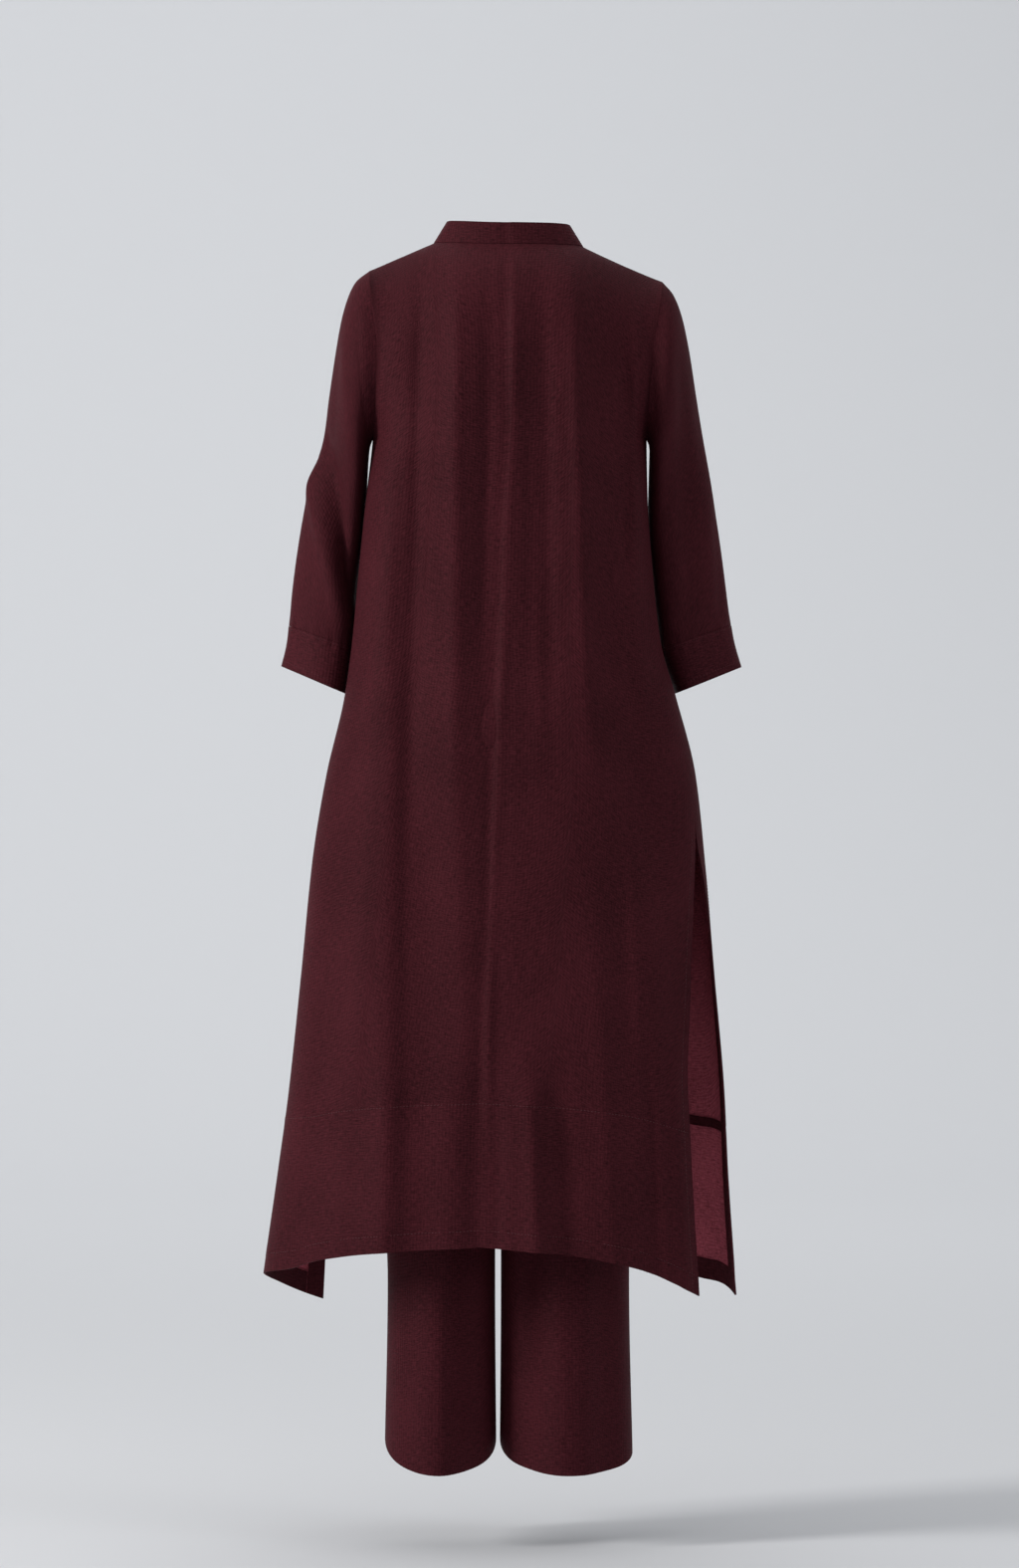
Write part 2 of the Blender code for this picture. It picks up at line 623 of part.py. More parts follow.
def make_front(material):
    halves = [panel_rows("front_right", front_shares(1)), panel_rows("front_left", front_shares(-1))]
    points, normals = split(joined(halves[0], halves[1], False))
    keep = np.ones((points.shape[0] - 1, points.shape[1] - 1), bool)
    keep[:ROWS_YOKE, len(halves[0][0]) - 1] = False
    add_piece("front", wall_mesh("front", points, normals, CLOTH, keep=keep), material)
    halves = [band_rows("front_right", half_shares(False, 1)),
              band_rows("front_left", half_shares(False, -1))]
    points, normals = split(joined(halves[0], halves[1], True))
    add_piece("hem_band_front", wall_mesh("hem_band_front", points, normals, CLOTH), material)


def ring_points(row, sides):
    """One ring of a sleeve: from its outer edge round behind to its inner edge and the front."""
    outer = np.array([row.outer_x, 0.0, row.outer_z])
    inner = np.array([row.inner_x, 0.0, row.inner_z])
    middle = (outer + inner) / 2
    half = (outer - inner) / 2
    ring = []
    for side in range(sides):
        turn = 2 * math.pi * side / sides
        lean = row.skew * max(0.0, math.sin(turn)) ** 2
        point = middle + half * (math.cos(turn) - lean)
        point[1] = row.middle_y - row.half_depth * math.sin(turn)
        ring.append(point)
    return ring


def blended_row(table, step):
    values = [smooth(table, field, step, key="step") for field in Ring._fields[1:]]
    return Ring(step, *values)


def tube_grid(table, rings, sign):
    """Rings along a sleeve, closest together at its head, wound so that normals point out."""
    grid = []
    for index in range(rings + 1):
        row = blended_row(table, (index / rings) ** RING_CROWDING)
        points = ring_points(row, SLEEVE_SIDES)
        if sign > 0:
            points = [points[0]] + points[:0:-1]
        grid.append(points)
    return np.array(grid)


def sleeve_bulge(points, sign):
    """The fold across the left elbow, the soft hollows below it, and gentler ones on the right."""
    folds = SLEEVE_FOLDS_LEFT if sign < 0 else SLEEVE_FOLDS_RIGHT
    moved = points.copy()
    normals = grid_normals(points, closed=True)
    for row in range(2, points.shape[0] - 1):
        middle_y = points[row, :, 1].mean()
        for column in range(points.shape[1]):
            place = points[row, column]
            for fold in folds:
                if (place[1] < middle_y) != (fold.side == "back"):
                    continue
                start = np.array([fold.top_x, fold.top_z])
                run = np.array([fold.foot_x, fold.foot_z]) - start
                offset = np.array([place[0], place[2]]) - start
                along = float(offset @ run) / float(run @ run)
                across = float(run[0] * offset[1] - run[1] * offset[0]) / float(np.linalg.norm(run))
                strength = ease(-0.3, 0.2, along) * (1 - ease(0.8, 1.3, along))
                strength *= min(1.0, abs(place[1] - middle_y) / 0.02)
                bump = fold.height * strength * math.exp(-((across / fold.spread) ** 2))
                moved[row, column] += normals[row, column] * bump
    return moved


def make_sleeves(material):
    for name, table, sign in (("sleeve_left", SLEEVE_LEFT, -1), ("sleeve_right", SLEEVE_RIGHT, 1)):
        points = tube_grid(table, SLEEVE_RINGS, sign)
        points[0, :, 0] = [smooth(SECTIONS, "left" if sign < 0 else "right", z) for z in points[0, :, 2]]
        points[0, :, 0] = sign * (points[0, :, 0] + armhole_setback(points[0]))
        points = sleeve_bulge(points, sign)
        mesh = wall_mesh(name, points, grid_normals(points, True), CLOTH, closed=True)
        add_piece(name, mesh, material)
    for name, table, sign in (("cuff_left", CUFF_LEFT, -1), ("cuff_right", CUFF_RIGHT, 1)):
        points = tube_grid(table, CUFF_RINGS, sign)
        mesh = wall_mesh(name, points, grid_normals(points, True), CUFF_CLOTH, closed=True)
        add_piece(name, mesh, material)


def armhole_setback(ring):
    """How far the sleeve's first ring stands out, so that the two walls' ends don't touch."""
    top = ring[:, 2].max()
    bottom = ring[:, 2].min()
    down = (top - ring[:, 2]) / (top - bottom)
    return ARMHOLE_SETBACK_TOP + (ARMHOLE_SETBACK_UNDER - ARMHOLE_SETBACK_TOP) * down


def neck_place(angle):
    """The neck seam's point and the panel's own normal there, by angle round the torso."""
    back = math.cos(math.radians(angle)) >= 0
    z = top_z(angle, back)
    return torso(angle, z), torso_normal(angle, z - 0.002)


def collar_angles():
    """The collar's columns, which stand over those of the panels: from the slit round behind."""
    front = [180 - 90 * share for share in front_shares(1) if share * 90 < NECK_COLUMN_LIMIT]
    back = [90 * share for share in half_shares(True, 1) if share * 90 < NECK_COLUMN_LIMIT]
    right = front + list(reversed(back))
    front = [180 + 90 * share for share in front_shares(-1) if share * 90 < NECK_COLUMN_LIMIT]
    back = [360 - 90 * share for share in half_shares(True, -1) if share * 90 < NECK_COLUMN_LIMIT]
    return right[:-1] + back + list(reversed(front))


def collar_foot(before, place, after, normal, rise):
    """Where the collar starts: clear of the panel's edge however the two walls meet."""
    edge = after - before
    edge /= np.linalg.norm(edge)
    inward = np.cross(normal, edge)
    inward *= math.copysign(1.0, inward[2] + 0.2 * float(inward @ rise))
    upward = rise - edge * float(rise @ edge)
    upward /= np.linalg.norm(upward)
    bend = math.acos(min(1.0, max(-1.0, float(inward @ upward))))
    gap = SEAM_GAP + (CLOTH + COLLAR_CLOTH) / 2 * math.tan(min(bend, 2.0) / 2)
    return place + (inward + upward) * gap * COLLAR_GAP_SHARE


def collar_points():
    """The stand collar, from one end at the front slit round behind to the other."""
    grid = [[] for _ in range(COLLAR_ROWS + 1)]
    seam = [neck_place(angle) for angle in collar_angles()]
    for step, (place, normal) in enumerate(seam):
        before = seam[max(step - 1, 0)][0]
        after = seam[min(step + 1, len(seam) - 1)][0]
        lean = np.array([-place[0], -0.6 * place[1], 0.0]) * COLLAR_LEAN / NECK_HALF_WIDTH
        rise = lean + np.array([0.0, 0.0, COLLAR_HEIGHT])
        foot = collar_foot(before, place, after, normal, rise / np.linalg.norm(rise))
        for level in range(COLLAR_ROWS + 1):
            grid[level].append(foot + rise * (level / COLLAR_ROWS))
    points = np.array(grid)
    normals = grid_normals(points)
    if normals[0, len(seam) // 2][1] > 0:
        normals = -normals
    return points, normals


def add_collar(material):
    points, normals = collar_points()
    add_piece("collar", wall_mesh("collar", points, normals, COLLAR_CLOTH), material)


def between(first, second, share):
    """A point and normal part of the way from one grid place to another."""
    return tuple(a + (b - a) * share for a, b in zip(first, second))


def without_edge(line):
    """A row of a panel from its middle to just clear of the slit's turning."""
    width = np.linalg.norm(line[-2][0] - line[-3][0])
    return line[:-2] + [between(line[-3], line[-2], 1 - TURNING_CLEARANCE / width)]


def turning(name, places, material):
    """A strip on the inside of a panel, made from the panel's own points, moved in."""
    points, normals = split(places)
    lift = -(CLOTH / 2 + SEAM_GAP + TURNING_CLOTH / 2)
    add_piece(name, wall_mesh(name, points, normals, TURNING_CLOTH, lift=lift), material)


def side_shares(side):
    return half_shares(side.startswith("back"), -1 if side.endswith("left") else 1)


def add_slit_turnings(material):
    for side in ("front_right", "back_right", "front_left", "back_left"):
        shares = side_shares(side)
        rows = panel_rows(side, shares)
        rows = [line for line in rows if line[-1][0][2] < SLIT_TOP_Z] + band_rows(side, shares)[1:]
        places = [line[-2:] for line in rows]
        turning("slit_turning_" + side, places, material)


def strip_row(panel, row):
    """One of the hem band's rows across both halves of a panel, clear of the slit turnings."""
    halves = []
    for side in (panel + "_left", panel + "_right"):
        halves.append(without_edge(band_rows(side, side_shares(side))[row]))
    return list(reversed(halves[0])) + halves[1][1:]


def add_strips(material):
    for panel in ("back", "front"):
        turning("hem_turning_" + panel, [strip_row(panel, -2), strip_row(panel, -1)], material)
    turning("band_seam_front", [strip_row("front", 0), strip_row("front", 1)], material)


def leg_surface(sign, across, z, back):
    """A point of the trousers: across is 0 at the middle or inside leg and 1 at the side seam."""
    outer = smooth(LEGS, "outer_right" if sign > 0 else "outer_left", z)
    inner = smooth(LEGS, "inner", z)
    depth = smooth(LEGS, "half_depth", z)
    fall = min(max((SEAT_Z - z) / (SEAT_Z - CROTCH_Z), 0.0), 1.0)
    leg = 1 - math.sqrt(1 - fall * fall)
    quarter = math.pi / 2 * across
    half = math.pi * across
    hip = np.array([outer * math.sin(quarter) ** TROUSER_SQUARENESS,
                    depth * math.cos(quarter) ** TROUSER_SQUARENESS])
    tube = np.array([(outer + inner) / 2 - (outer - inner) / 2 * math.cos(half),
                     depth * abs(math.sin(half)) ** TROUSER_SQUARENESS])
    place = hip * (1 - leg) + tube * leg
    place[0] = max(place[0], SEAM_GAP / 2 + CLOTH / 2 * min(1.0, 6 * leg))
    place[1] = max(place[1], SEAM_GAP / 2)
    shift = TROUSER_SHIFT * ease(-CROTCH_Z, 1.20, -z)
    return np.array([sign * place[0] + shift, -place[1] if back else place[1], z])


def trouser_hem(sign, across, back):
    side = TROUSER_HEM_SIDE_RIGHT if sign > 0 else TROUSER_HEM_SIDE_LEFT
    if across < 0.5:
        side = TROUSER_HEM_INSIDE
    middle = TROUSER_HEM_BACK if back else TROUSER_HEM_FRONT
    return side + (middle - side) * math.sin(math.pi * across) ** TROUSER_HEM_CURVE


def trouser_fold(place, back):
    """How far the soft folds push a leg's cloth out at this place."""
    bump = 0.0
    for fold in TROUSER_FOLDS:
        if fold.side != ("back" if back else "front"):
            continue
        along = (fold.top_z - place[2]) / (fold.top_z - fold.foot_z)
        middle = fold.top_x + (fold.foot_x - fold.top_x) * along
        strength = ease(-0.1, 0.4, along)
        bump += fold.height * strength * math.exp(-(((place[0] - middle) / fold.spread) ** 2))
    return bump


def leg_row(sign, row, back):
    """One row of a trouser panel, from the middle or inside leg to the side seam."""
    line = []
    for column in range(LEG_COLUMNS + 1):
        across = column / LEG_COLUMNS
        top = WAIST_Z - SEAM_GAP / 2
        z = top + (trouser_hem(sign, across, back) - WAIST_Z) * row / LEG_ROWS
        place = leg_surface(sign, across, z, back)
        push = trouser_fold(place, back) * math.sin(math.pi * across)
        place[1] += -push if back else push
        line.append(place)
    return line if (sign > 0) == back else line[::-1]


def add_trousers(material):
    for sign, hand in ((-1, "left"), (1, "right")):
        for back, face in ((True, "back"), (False, "front")):
            points = np.array([leg_row(sign, row, back) for row in range(LEG_ROWS + 1)])
            name = "trouser_" + face + "_" + hand
            mesh = wall_mesh(name, points, grid_normals(points), CLOTH)
            add_piece(name, mesh, material)


def add_waistband(material):
    """A closed band that draws in slightly towards its upper edge."""
    grid = []
    for level in range(WAISTBAND_ROWS + 1):
        up = (WAISTBAND_ROWS - level) / WAISTBAND_ROWS
        width = LEGS[0].outer_right - WAISTBAND_TAPER_WIDTH * up
        depth = LEGS[0].half_depth - WAISTBAND_TAPER_DEPTH * up
        z = WAIST_Z + SEAM_GAP + WAISTBAND_HEIGHT * up
        line = []
        for step in range(WAISTBAND_SIDES):
            turn = 2 * math.pi * step / WAISTBAND_SIDES
            line.append(np.array([width * signed_power(math.sin(turn), TROUSER_SQUARENESS),
                                  -depth * signed_power(math.cos(turn), TROUSER_SQUARENESS), z]))
        grid.append(line)
    points = np.array(grid)
    mesh = wall_mesh("waistband", points, grid_normals(points, True), WAISTBAND_CLOTH, closed=True)
    add_piece("waistband", mesh, material)


def cloth_material(name, color, roughness):
    material = bpy.data.materials.new(name)
    material.use_nodes = True
    shader = material.node_tree.nodes["Principled BSDF"]
    shader.inputs["Base Color"].default_value = (*color, 1.0)
    shader.inputs["Roughness"].default_value = roughness
    shader.inputs["Metallic"].default_value = 0.0
    material.diffuse_color = (*color, 1.0)
    return material


def clear_scene():
    for item in list(bpy.data.objects):
        bpy.data.objects.remove(item, do_unlink=True)


def main():
    clear_scene()
    kaftan = cloth_material("kaftan_cloth", KAFTAN_COLOR, CLOTH_ROUGHNESS)
    turned = cloth_material("turned_cloth", TURNED_COLOR, TURNED_ROUGHNESS)
    trousers = cloth_material("trouser_cloth", TROUSER_COLOR, CLOTH_ROUGHNESS)
    make_back(kaftan)
    make_front(kaftan)
    make_sleeves(kaftan)
    add_collar(kaftan)
    add_slit_turnings(turned)
    add_strips(turned)
    add_trousers(trousers)
    add_waistband(trousers)


main()
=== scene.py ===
"""The kaftan set's looks: fine shells of cloth on the frame's solids, sewing, light and camera.

Metres, +Z up, with millimetres in some tables. The wearer's back faces -Y and the camera looks
along +Y. The tables and the body's surface are the ones that the solids are made from.
"""
import math
from collections import namedtuple

import bpy
import numpy as np
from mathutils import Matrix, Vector


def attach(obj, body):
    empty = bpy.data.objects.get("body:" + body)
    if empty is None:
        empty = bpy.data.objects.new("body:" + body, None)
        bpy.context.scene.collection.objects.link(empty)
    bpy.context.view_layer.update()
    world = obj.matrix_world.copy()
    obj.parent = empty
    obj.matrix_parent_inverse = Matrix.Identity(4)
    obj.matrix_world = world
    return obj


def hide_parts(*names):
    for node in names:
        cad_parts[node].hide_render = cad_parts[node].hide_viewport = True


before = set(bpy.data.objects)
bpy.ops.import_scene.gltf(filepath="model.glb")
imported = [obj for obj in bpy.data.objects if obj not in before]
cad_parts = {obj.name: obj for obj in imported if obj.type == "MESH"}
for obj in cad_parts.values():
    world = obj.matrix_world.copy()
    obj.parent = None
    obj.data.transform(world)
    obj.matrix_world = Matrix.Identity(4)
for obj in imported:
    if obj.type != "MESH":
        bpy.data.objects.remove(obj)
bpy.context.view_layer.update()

# Cloth and cut
CLOTH = 0.0011
COLLAR_CLOTH = 0.0019
CUFF_CLOTH = 0.0016
TURNING_CLOTH = 0.0009
WAISTBAND_CLOTH = 0.0018
SEAM_GAP = 0.0003
SEWN_GAP = 0.00006
NECK_HALF_WIDTH = 0.090
NECK_DROP_BACK = 0.006
NECK_DROP_FRONT = 0.066
NECK_CURVE_FRONT = 0.55
NECK_SLIT_HALF_WIDTH = 0.0016
SHOULDER_RISE_AT_NECK = 0.012
COLLAR_HEIGHT = 0.026
COLLAR_LEAN = 0.016
COLLAR_LEAN_BACK = 0.6
COLLAR_END_SHARE = 0.0035
COLLAR_FOOT_SHARE = 0.55
YOKE_ROUND_BACK = 0.105
YOKE_ROUND_FRONT = 0.180
YOKE_ELLIPSE = (-0.30, -0.10)
UNDERARM_Z = -0.235
HEAD_GAP = 0.0004
HEAD_RINGS = 12
HEAD_PULL = 0.8
BAND_SEAM_Z = -1.0250
BAND_SEAM_FOLLOWS_HEM = 0.62
SLIT_TOP_Z = -0.708
BACK_LENGTH = 1.197
FRONT_LENGTH = 1.185
BAND_HEIGHT = BACK_LENGTH + BAND_SEAM_Z
SLIT_TURNING_SHARE = 0.052
BROAD_TURNING_SHARE = 0.095
SLIT_FLARE = 0.046
FLARE_START = 128
FLARE_FULL_Z = -1.05
FLARE_CURVE = 1.6
FLARE_SOFT = (62, 86)
HEM_TURNING = 0.022
BAND_SEAM_ALLOWANCE = 0.010
SHORTEST_CUT = 0.0101
LEAST_CUT_SHARE = 0.31

# Trousers
WAIST_Z = -0.455
SEAT_Z = -0.600
CROTCH_Z = -0.715
WAISTBAND_HEIGHT = 0.036
WAISTBAND_TAPER_WIDTH = 0.004
WAISTBAND_TAPER_DEPTH = 0.003
TROUSER_SHIFT = -0.0126
TROUSER_HEM_INSIDE = -1.437
TROUSER_HEM_SIDE_LEFT = -1.434
TROUSER_HEM_SIDE_RIGHT = -1.453
TROUSER_HEM_BACK = -1.474
TROUSER_HEM_FRONT = -1.446
TROUSER_HEM_CURVE = 0.8
TROUSER_SQUARENESS = 0.92
WAIST_GATHERS = 26
WAIST_GATHER = 0.0012

# Running stitches
STITCH_PITCH = 0.0042
STITCH_LENGTH = 0.0026
STITCH_WIDTH = 0.0005
STITCH_LIFT = CLOTH / 2 + 0.0001
STITCH_SWELL = (0.45, 1.0, 0.45)
SLIT_STITCH_SHARE = 0.88

# Grid steps of the fine shells
COLUMNS_NECK = 22
COLUMNS_SIDE = 34
SEAM_CROWDING = 1.35
ROWS_YOKE = 40
ROWS_WAIST = 60
ROWS_SKIRT = 42
ROWS_BAND = 30
SLEEVE_SIDES = 84
SLEEVE_RINGS = 110
CUFF_RINGS = 16
LEG_ROWS = 90
LEG_COLUMNS = 36
RING_CROWDING = 1.12
COLLAR_ROWS = 12
STRIP_ROWS = 5
TURNING_COLUMNS = 4
WAISTBAND_SIDES = 120
WAISTBAND_ROWS = 8
COVE_STEPS = 16


def table(kind, rows, plain=""):
    """Rows with named columns, in millimetres but for the columns that plain names."""
    scales = [1 if name in plain.split() else 1000 for name in kind._fields]
    return [kind(*[value / scale for value, scale in zip(row, scales)]) for row in rows]


# Torso sections: height, half-widths as seen from behind, depths behind and before the middle,
# and the roundness of the section, where 2 is an ellipse.
Section = namedtuple("Section", "z left right back front roundness")
SECTIONS = table(Section, [
    (20, 166, 186, 100, 95, 2.5),
    (-45, 166, 185, 108, 100, 2.5),
    (-130, 157, 172.5, 118, 112, 2.5),
    (-235, 163, 166, 120, 128, 2.5),
    (-310, 171.5, 167.2, 116, 134, 2.5),
    (-400, 180.5, 173.8, 112, 128, 2.4),
    (-480, 188, 183, 115, 124, 2.3),
    (-545, 197, 201, 122, 128, 2.3),
    (-640, 219, 225, 133, 136, 2.2),
    (-740, 235.5, 236, 138, 142, 2.2),
    (-880, 249.5, 248.5, 144, 148, 2.2),
    (-1025, 265, 262, 150, 154, 2.1),
    (-1120, 278, 267, 154, 158, 2.1),
    (-1240, 295, 276, 158, 162, 2.1),
    (-1320, 305, 282, 160, 165, 2.1),
], plain="roundness")

# Each shoulder seam: how far it lies below the other at the neck, its fall, and how that grows.
Shoulder = namedtuple("Shoulder", "drop fall curve")
SHOULDER_LEFT = Shoulder(0.0000, 0.425, 0.10)
SHOULDER_RIGHT = Shoulder(0.0045, 0.490, -0.50)

# Where the seams run round the torso, in degrees from the middle of the back,
# positive towards +X. Below the slits' tops the back and the front edges part.
Seams = namedtuple("Seams", "z centre right_back right_front left_back left_front")
SEAMS = [
    Seams(-0.235, 0.0, 90.0, 90.0, -90.0, -90.0),
    Seams(-0.400, -1.5, 86.0, 86.0, -94.0, -94.0),
    Seams(-0.560, -3.0, 80.0, 80.0, -101.0, -101.0),
    Seams(-0.660, -3.7, 75.4, 75.4, -107.0, -107.0),
    Seams(-0.708, -4.0, 72.6, 73.2, -110.0, -110.6),
    Seams(-0.780, -4.3, 66.2, 80.0, -114.0, -115.5),
    Seams(-0.880, -5.0, 59.6, 87.0, -119.0, -121.5),
    Seams(-1.025, -6.0, 53.8, 92.0, -125.0, -128.5),
    Seams(-1.120, -6.0, 54.0, 94.0, -128.0, -132.0),
    Seams(-1.240, -6.0, 54.0, 96.0, -131.0, -135.5),
    Seams(-1.320, -6.0, 53.5, 97.0, -132.0, -137.0),
]

# How far each hem hangs below its middle, by share of the way out to the side edge.
HemDrop = namedtuple("HemDrop", "share back_left back_right front_left front_right")
HEM_DROPS = table(HemDrop, [
    (0.00, 0, 0, 0, 0),
    (0.20, 7.5, 5, 2.5, 6),
    (0.35, 19, 10, 5, 22),
    (0.45, 31.5, 14.5, 8, 40),
    (0.65, 42, 27, 16.5, 68.5),
    (0.80, 55, 41, 24, 73),
    (1.00, 84.5, 62, 40, 87),
], plain="share")

# The large folds: side of the body, where each starts and ends, its spread and its height,
# which is negative for a hollow. Rows are in millimetres, in the order of the names.
Fold = namedtuple("Fold", "side top_x top_z foot_x foot_z spread height")


def folds(side, rows):
    return [Fold(side, *[value / 1000 for value in row]) for row in rows]


FOLDS = folds("back", [
    (-60, -30, -62, -620, 22, 5.5),
    (-100, -50, -112, -640, 18, -4.5),
    (-128, -100, -150, -500, 18, 4),
    (-142, -420, -162, -1240, 30, 8),
    (-104, -620, -96, -1240, 24, -6),
    (-12, -50, -34, -500, 13, -2.8),
    (36, -30, 34, -440, 15, -3.5),
    (78, -50, 90, -520, 20, 5),
    (118, -60, 126, -450, 16, -3.5),
    (110, -400, 182, -800, 26, -5),
    (90, -720, 134, -1240, 32, 4.5),
    (22, -980, 30, -1240, 20, 6.5),
    (60, -1000, 70, -1240, 16, -4),
    (-30, -1000, -30, -1240, 18, -3.5),
    (164, -780, 190, -1240, 20, 6.5),
]) + folds("front", [
    (-70, -360, -100, -800, 26, 3.5),
    (74, -380, 112, -840, 28, 4),
    (0, -420, -12, -1000, 26, -5),
    (-52, -660, -68, -1240, 28, 8.5),
    (46, -600, 72, -1240, 30, 8),
    (-150, -660, -176, -1240, 26, 6),
    (150, -700, 186, -1240, 28, -6),
    (110, -900, 130, -1240, 20, -5),
    (-108, -880, -124, -1240, 20, -5.5),
])

# The sleeves' folds: the sharp one across the left elbow, and softer ones
SLEEVE_FOLDS_LEFT = folds("back", [
    (-222, -238, -190, -405, 13, -6),
    (-236, -262, -204, -430, 14, 5),
    (-182, -70, -178, -220, 12, -3),
]) + folds("front", [
    (-225, -240, -196, -360, 16, -5),
    (-238, -330, -222, -440, 14, 3),
])
SLEEVE_FOLDS_RIGHT = folds("back", [
    (184, -60, 190, -220, 12, 3),
    (205, -240, 214, -420, 16, -3),
    (232, -260, 244, -440, 14, 3),
]) + folds("front", [
    (226, -240, 190, -370, 16, -5),
    (240, -330, 222, -440, 14, 3),
])

# The soft folds down the trouser legs
TROUSER_FOLDS = folds("back", [
    (-100, -800, -106, -1460, 22, 7),
    (-45, -900, -44, -1460, 18, -8),
    (50, -800, 68, -1460, 22, 8),
    (20, -950, 20, -1460, 14, -6),
    (115, -850, 118, -1460, 22, -6),
]) + folds("front", [
    (-80, -600, -82, -1460, 18, 9),
    (72, -600, 74, -1460, 18, 9),
    (-36, -850, -38, -1460, 16, -5),
    (118, -850, 116, -1460, 18, -5),
])

# Sleeves: outer and inner edge as seen from behind, half the depth, how far forward the middle
# lies, and how far the back of the sleeve leans in towards the body. The first row is the
# armhole, the last is the seam with the cuff.
Ring = namedtuple("Ring", "step outer_x outer_z inner_x inner_z half_depth middle_y skew")
SLEEVE_LEFT = table(Ring, [
    (0.00, -166, -33, -165, -235, 68, 0, 0.00),
    (0.05, -184, -47, -167.2, -243, 72, 1, 0.00),
    (0.11, -195, -70, -168.4, -250, 74, 4, 0.04),
    (0.20, -205, -112, -169.6, -262, 74, 11, 0.12),
    (0.34, -216.5, -182, -171.6, -290, 72, 26, 0.26),
    (0.45, -223.5, -231, -173.6, -318, 69, 39, 0.34),
    (0.58, -241.5, -290, -176.6, -355, 65, 49, 0.40),
    (0.75, -256.5, -370, -180.8, -412, 60, 55, 0.40),
    (0.90, -264, -430, -185, -462, 57, 59, 0.40),
    (1.00, -266, -459, -187.5, -487, 55, 60, 0.40),
], plain="step skew")
SLEEVE_RIGHT = table(Ring, [
    (0.00, 185, -47, 166, -235, 68, 0, 0.00),
    (0.05, 198, -62, 169.8, -243, 72, 1, 0.00),
    (0.11, 208, -86, 170.6, -250, 74, 4, 0.04),
    (0.20, 216, -120, 170.4, -262, 74, 11, 0.12),
    (0.34, 226.5, -182, 170, -290, 72, 26, 0.26),
    (0.45, 235.5, -234, 169.6, -320, 69, 39, 0.34),
    (0.58, 246.5, -295, 170.6, -355, 65, 49, 0.40),
    (0.75, 258.5, -372, 175.2, -412, 60, 55, 0.40),
    (0.90, 266, -430, 180.5, -462, 57, 59, 0.40),
    (1.00, 269.5, -458, 184, -488, 55, 60, 0.40),
], plain="step skew")
CUFF_LEFT = table(Ring, [
    (0.0, -266.1, -459.4, -187.6, -487.4, 55, 60, 0.40),
    (0.5, -270, -484, -191.5, -515, 56, 61, 0.40),
    (1.0, -276, -508, -196, -542, 57.5, 62, 0.40),
], plain="step skew")
CUFF_RIGHT = table(Ring, [
    (0.0, 269.6, -458.4, 184.1, -488.4, 55, 60, 0.40),
    (0.5, 275.5, -484, 192.5, -515, 56, 61, 0.40),
    (1.0, 283, -509, 203, -541, 57.5, 62, 0.40),
], plain="step skew")
CUFFS = (("left", CUFF_LEFT, -1), ("right", CUFF_RIGHT, 1))

# Trousers: inner and outer edge of a leg, and half its depth, at each height
Leg = namedtuple("Leg", "z inner outer_left outer_right half_depth")
LEGS = table(Leg, [
    (-455, 4, 142, 142, 104),
    (-520, 4, 158, 158, 112.5),
    (-600, 4, 172, 172, 127.5),
    (-715, 4, 176, 176, 116),
    (-900, 4, 160, 168, 98),
    (-1080, 4, 144, 160, 88),
    (-1250, 4, 132.5, 157.5, 82),
    (-1470, 2.5, 136.5, 162, 80),
])

# Finer creases, added to the large folds
FINE_FOLDS = folds("back", [
    (-62, -60, -64, -620, 10, 3.4),
    (-104, -50, -116, -620, 11, -3.8),
    (-148, -100, -168, -560, 13, 3.6),
    (-124, -80, -134, -560, 9, -2),
    (-24, -50, -28, -660, 10, -2.4),
    (26, -100, 22, -600, 10, -1.6),
    (44, -100, 50, -560, 10, -3.6),
    (78, -100, 94, -540, 10, 5),
    (106, -60, 118, -540, 10, -2.6),
    (154, -100, 154, -360, 8, 9.5),
    (136, -120, 136, -400, 8, -3.6),
    (152, -360, 160, -560, 10, 2.4),
    (-156, -460, -182, -980, 12, 3.4),
    (-122, -460, -122, -1060, 11, -3.4),
    (-182, -800, -204, -1240, 11, 2.6),
    (-214, -880, -244, -1240, 10, -2.2),
    (-142, -1000, -146, -1240, 14, 6),
    (-88, -1030, -90, -1240, 22, 2.2),
    (-40, -1010, -38, -1240, 18, -5.2),
    (-12, -1030, -14, -1240, 10, -3.4),
    (-58, -660, -52, -1000, 10, 2),
    (-10, -600, -16, -980, 10, -1.2),
    (28, -1030, 36, -1240, 10, 5.2),
    (48, -1040, 58, -1240, 8, -2.2),
    (108, -900, 124, -1240, 10, 1.8),
    (146, -720, 158, -1120, 9, 2.4),
    (198, -980, 209, -1240, 10, 7),
    (164, -1000, 175, -1240, 10, -4.5),
]) + folds("front", [
    (-128, -240, -144, -600, 10, 2.2),
    (132, -220, 140, -580, 9, 2),
    (-26, -400, -34, -820, 10, 1.6),
    (90, -920, 98, -1240, 10, 1.8),
    (-200, -900, -222, -1240, 12, -2.2),
    (212, -900, 228, -1240, 10, -1.4),
    (52, -80, 60, -340, 10, 1.6),
    (-86, -100, -96, -400, 12, 2),
])
FINE_SLEEVE_FOLDS = folds("back", [
    (-222, -245, -190, -410, 8, -5.5),
    (-237, -290, -206, -440, 9, 4.5),
    (-196, -100, -192, -240, 7, 2.2),
    (-206, -140, -212, -235, 6, -1.6),
    (214, -150, 226, -330, 8, 1.8),
    (196, -200, 206, -420, 8, 2),
    (250, -330, 256, -450, 7, -1.8),
])
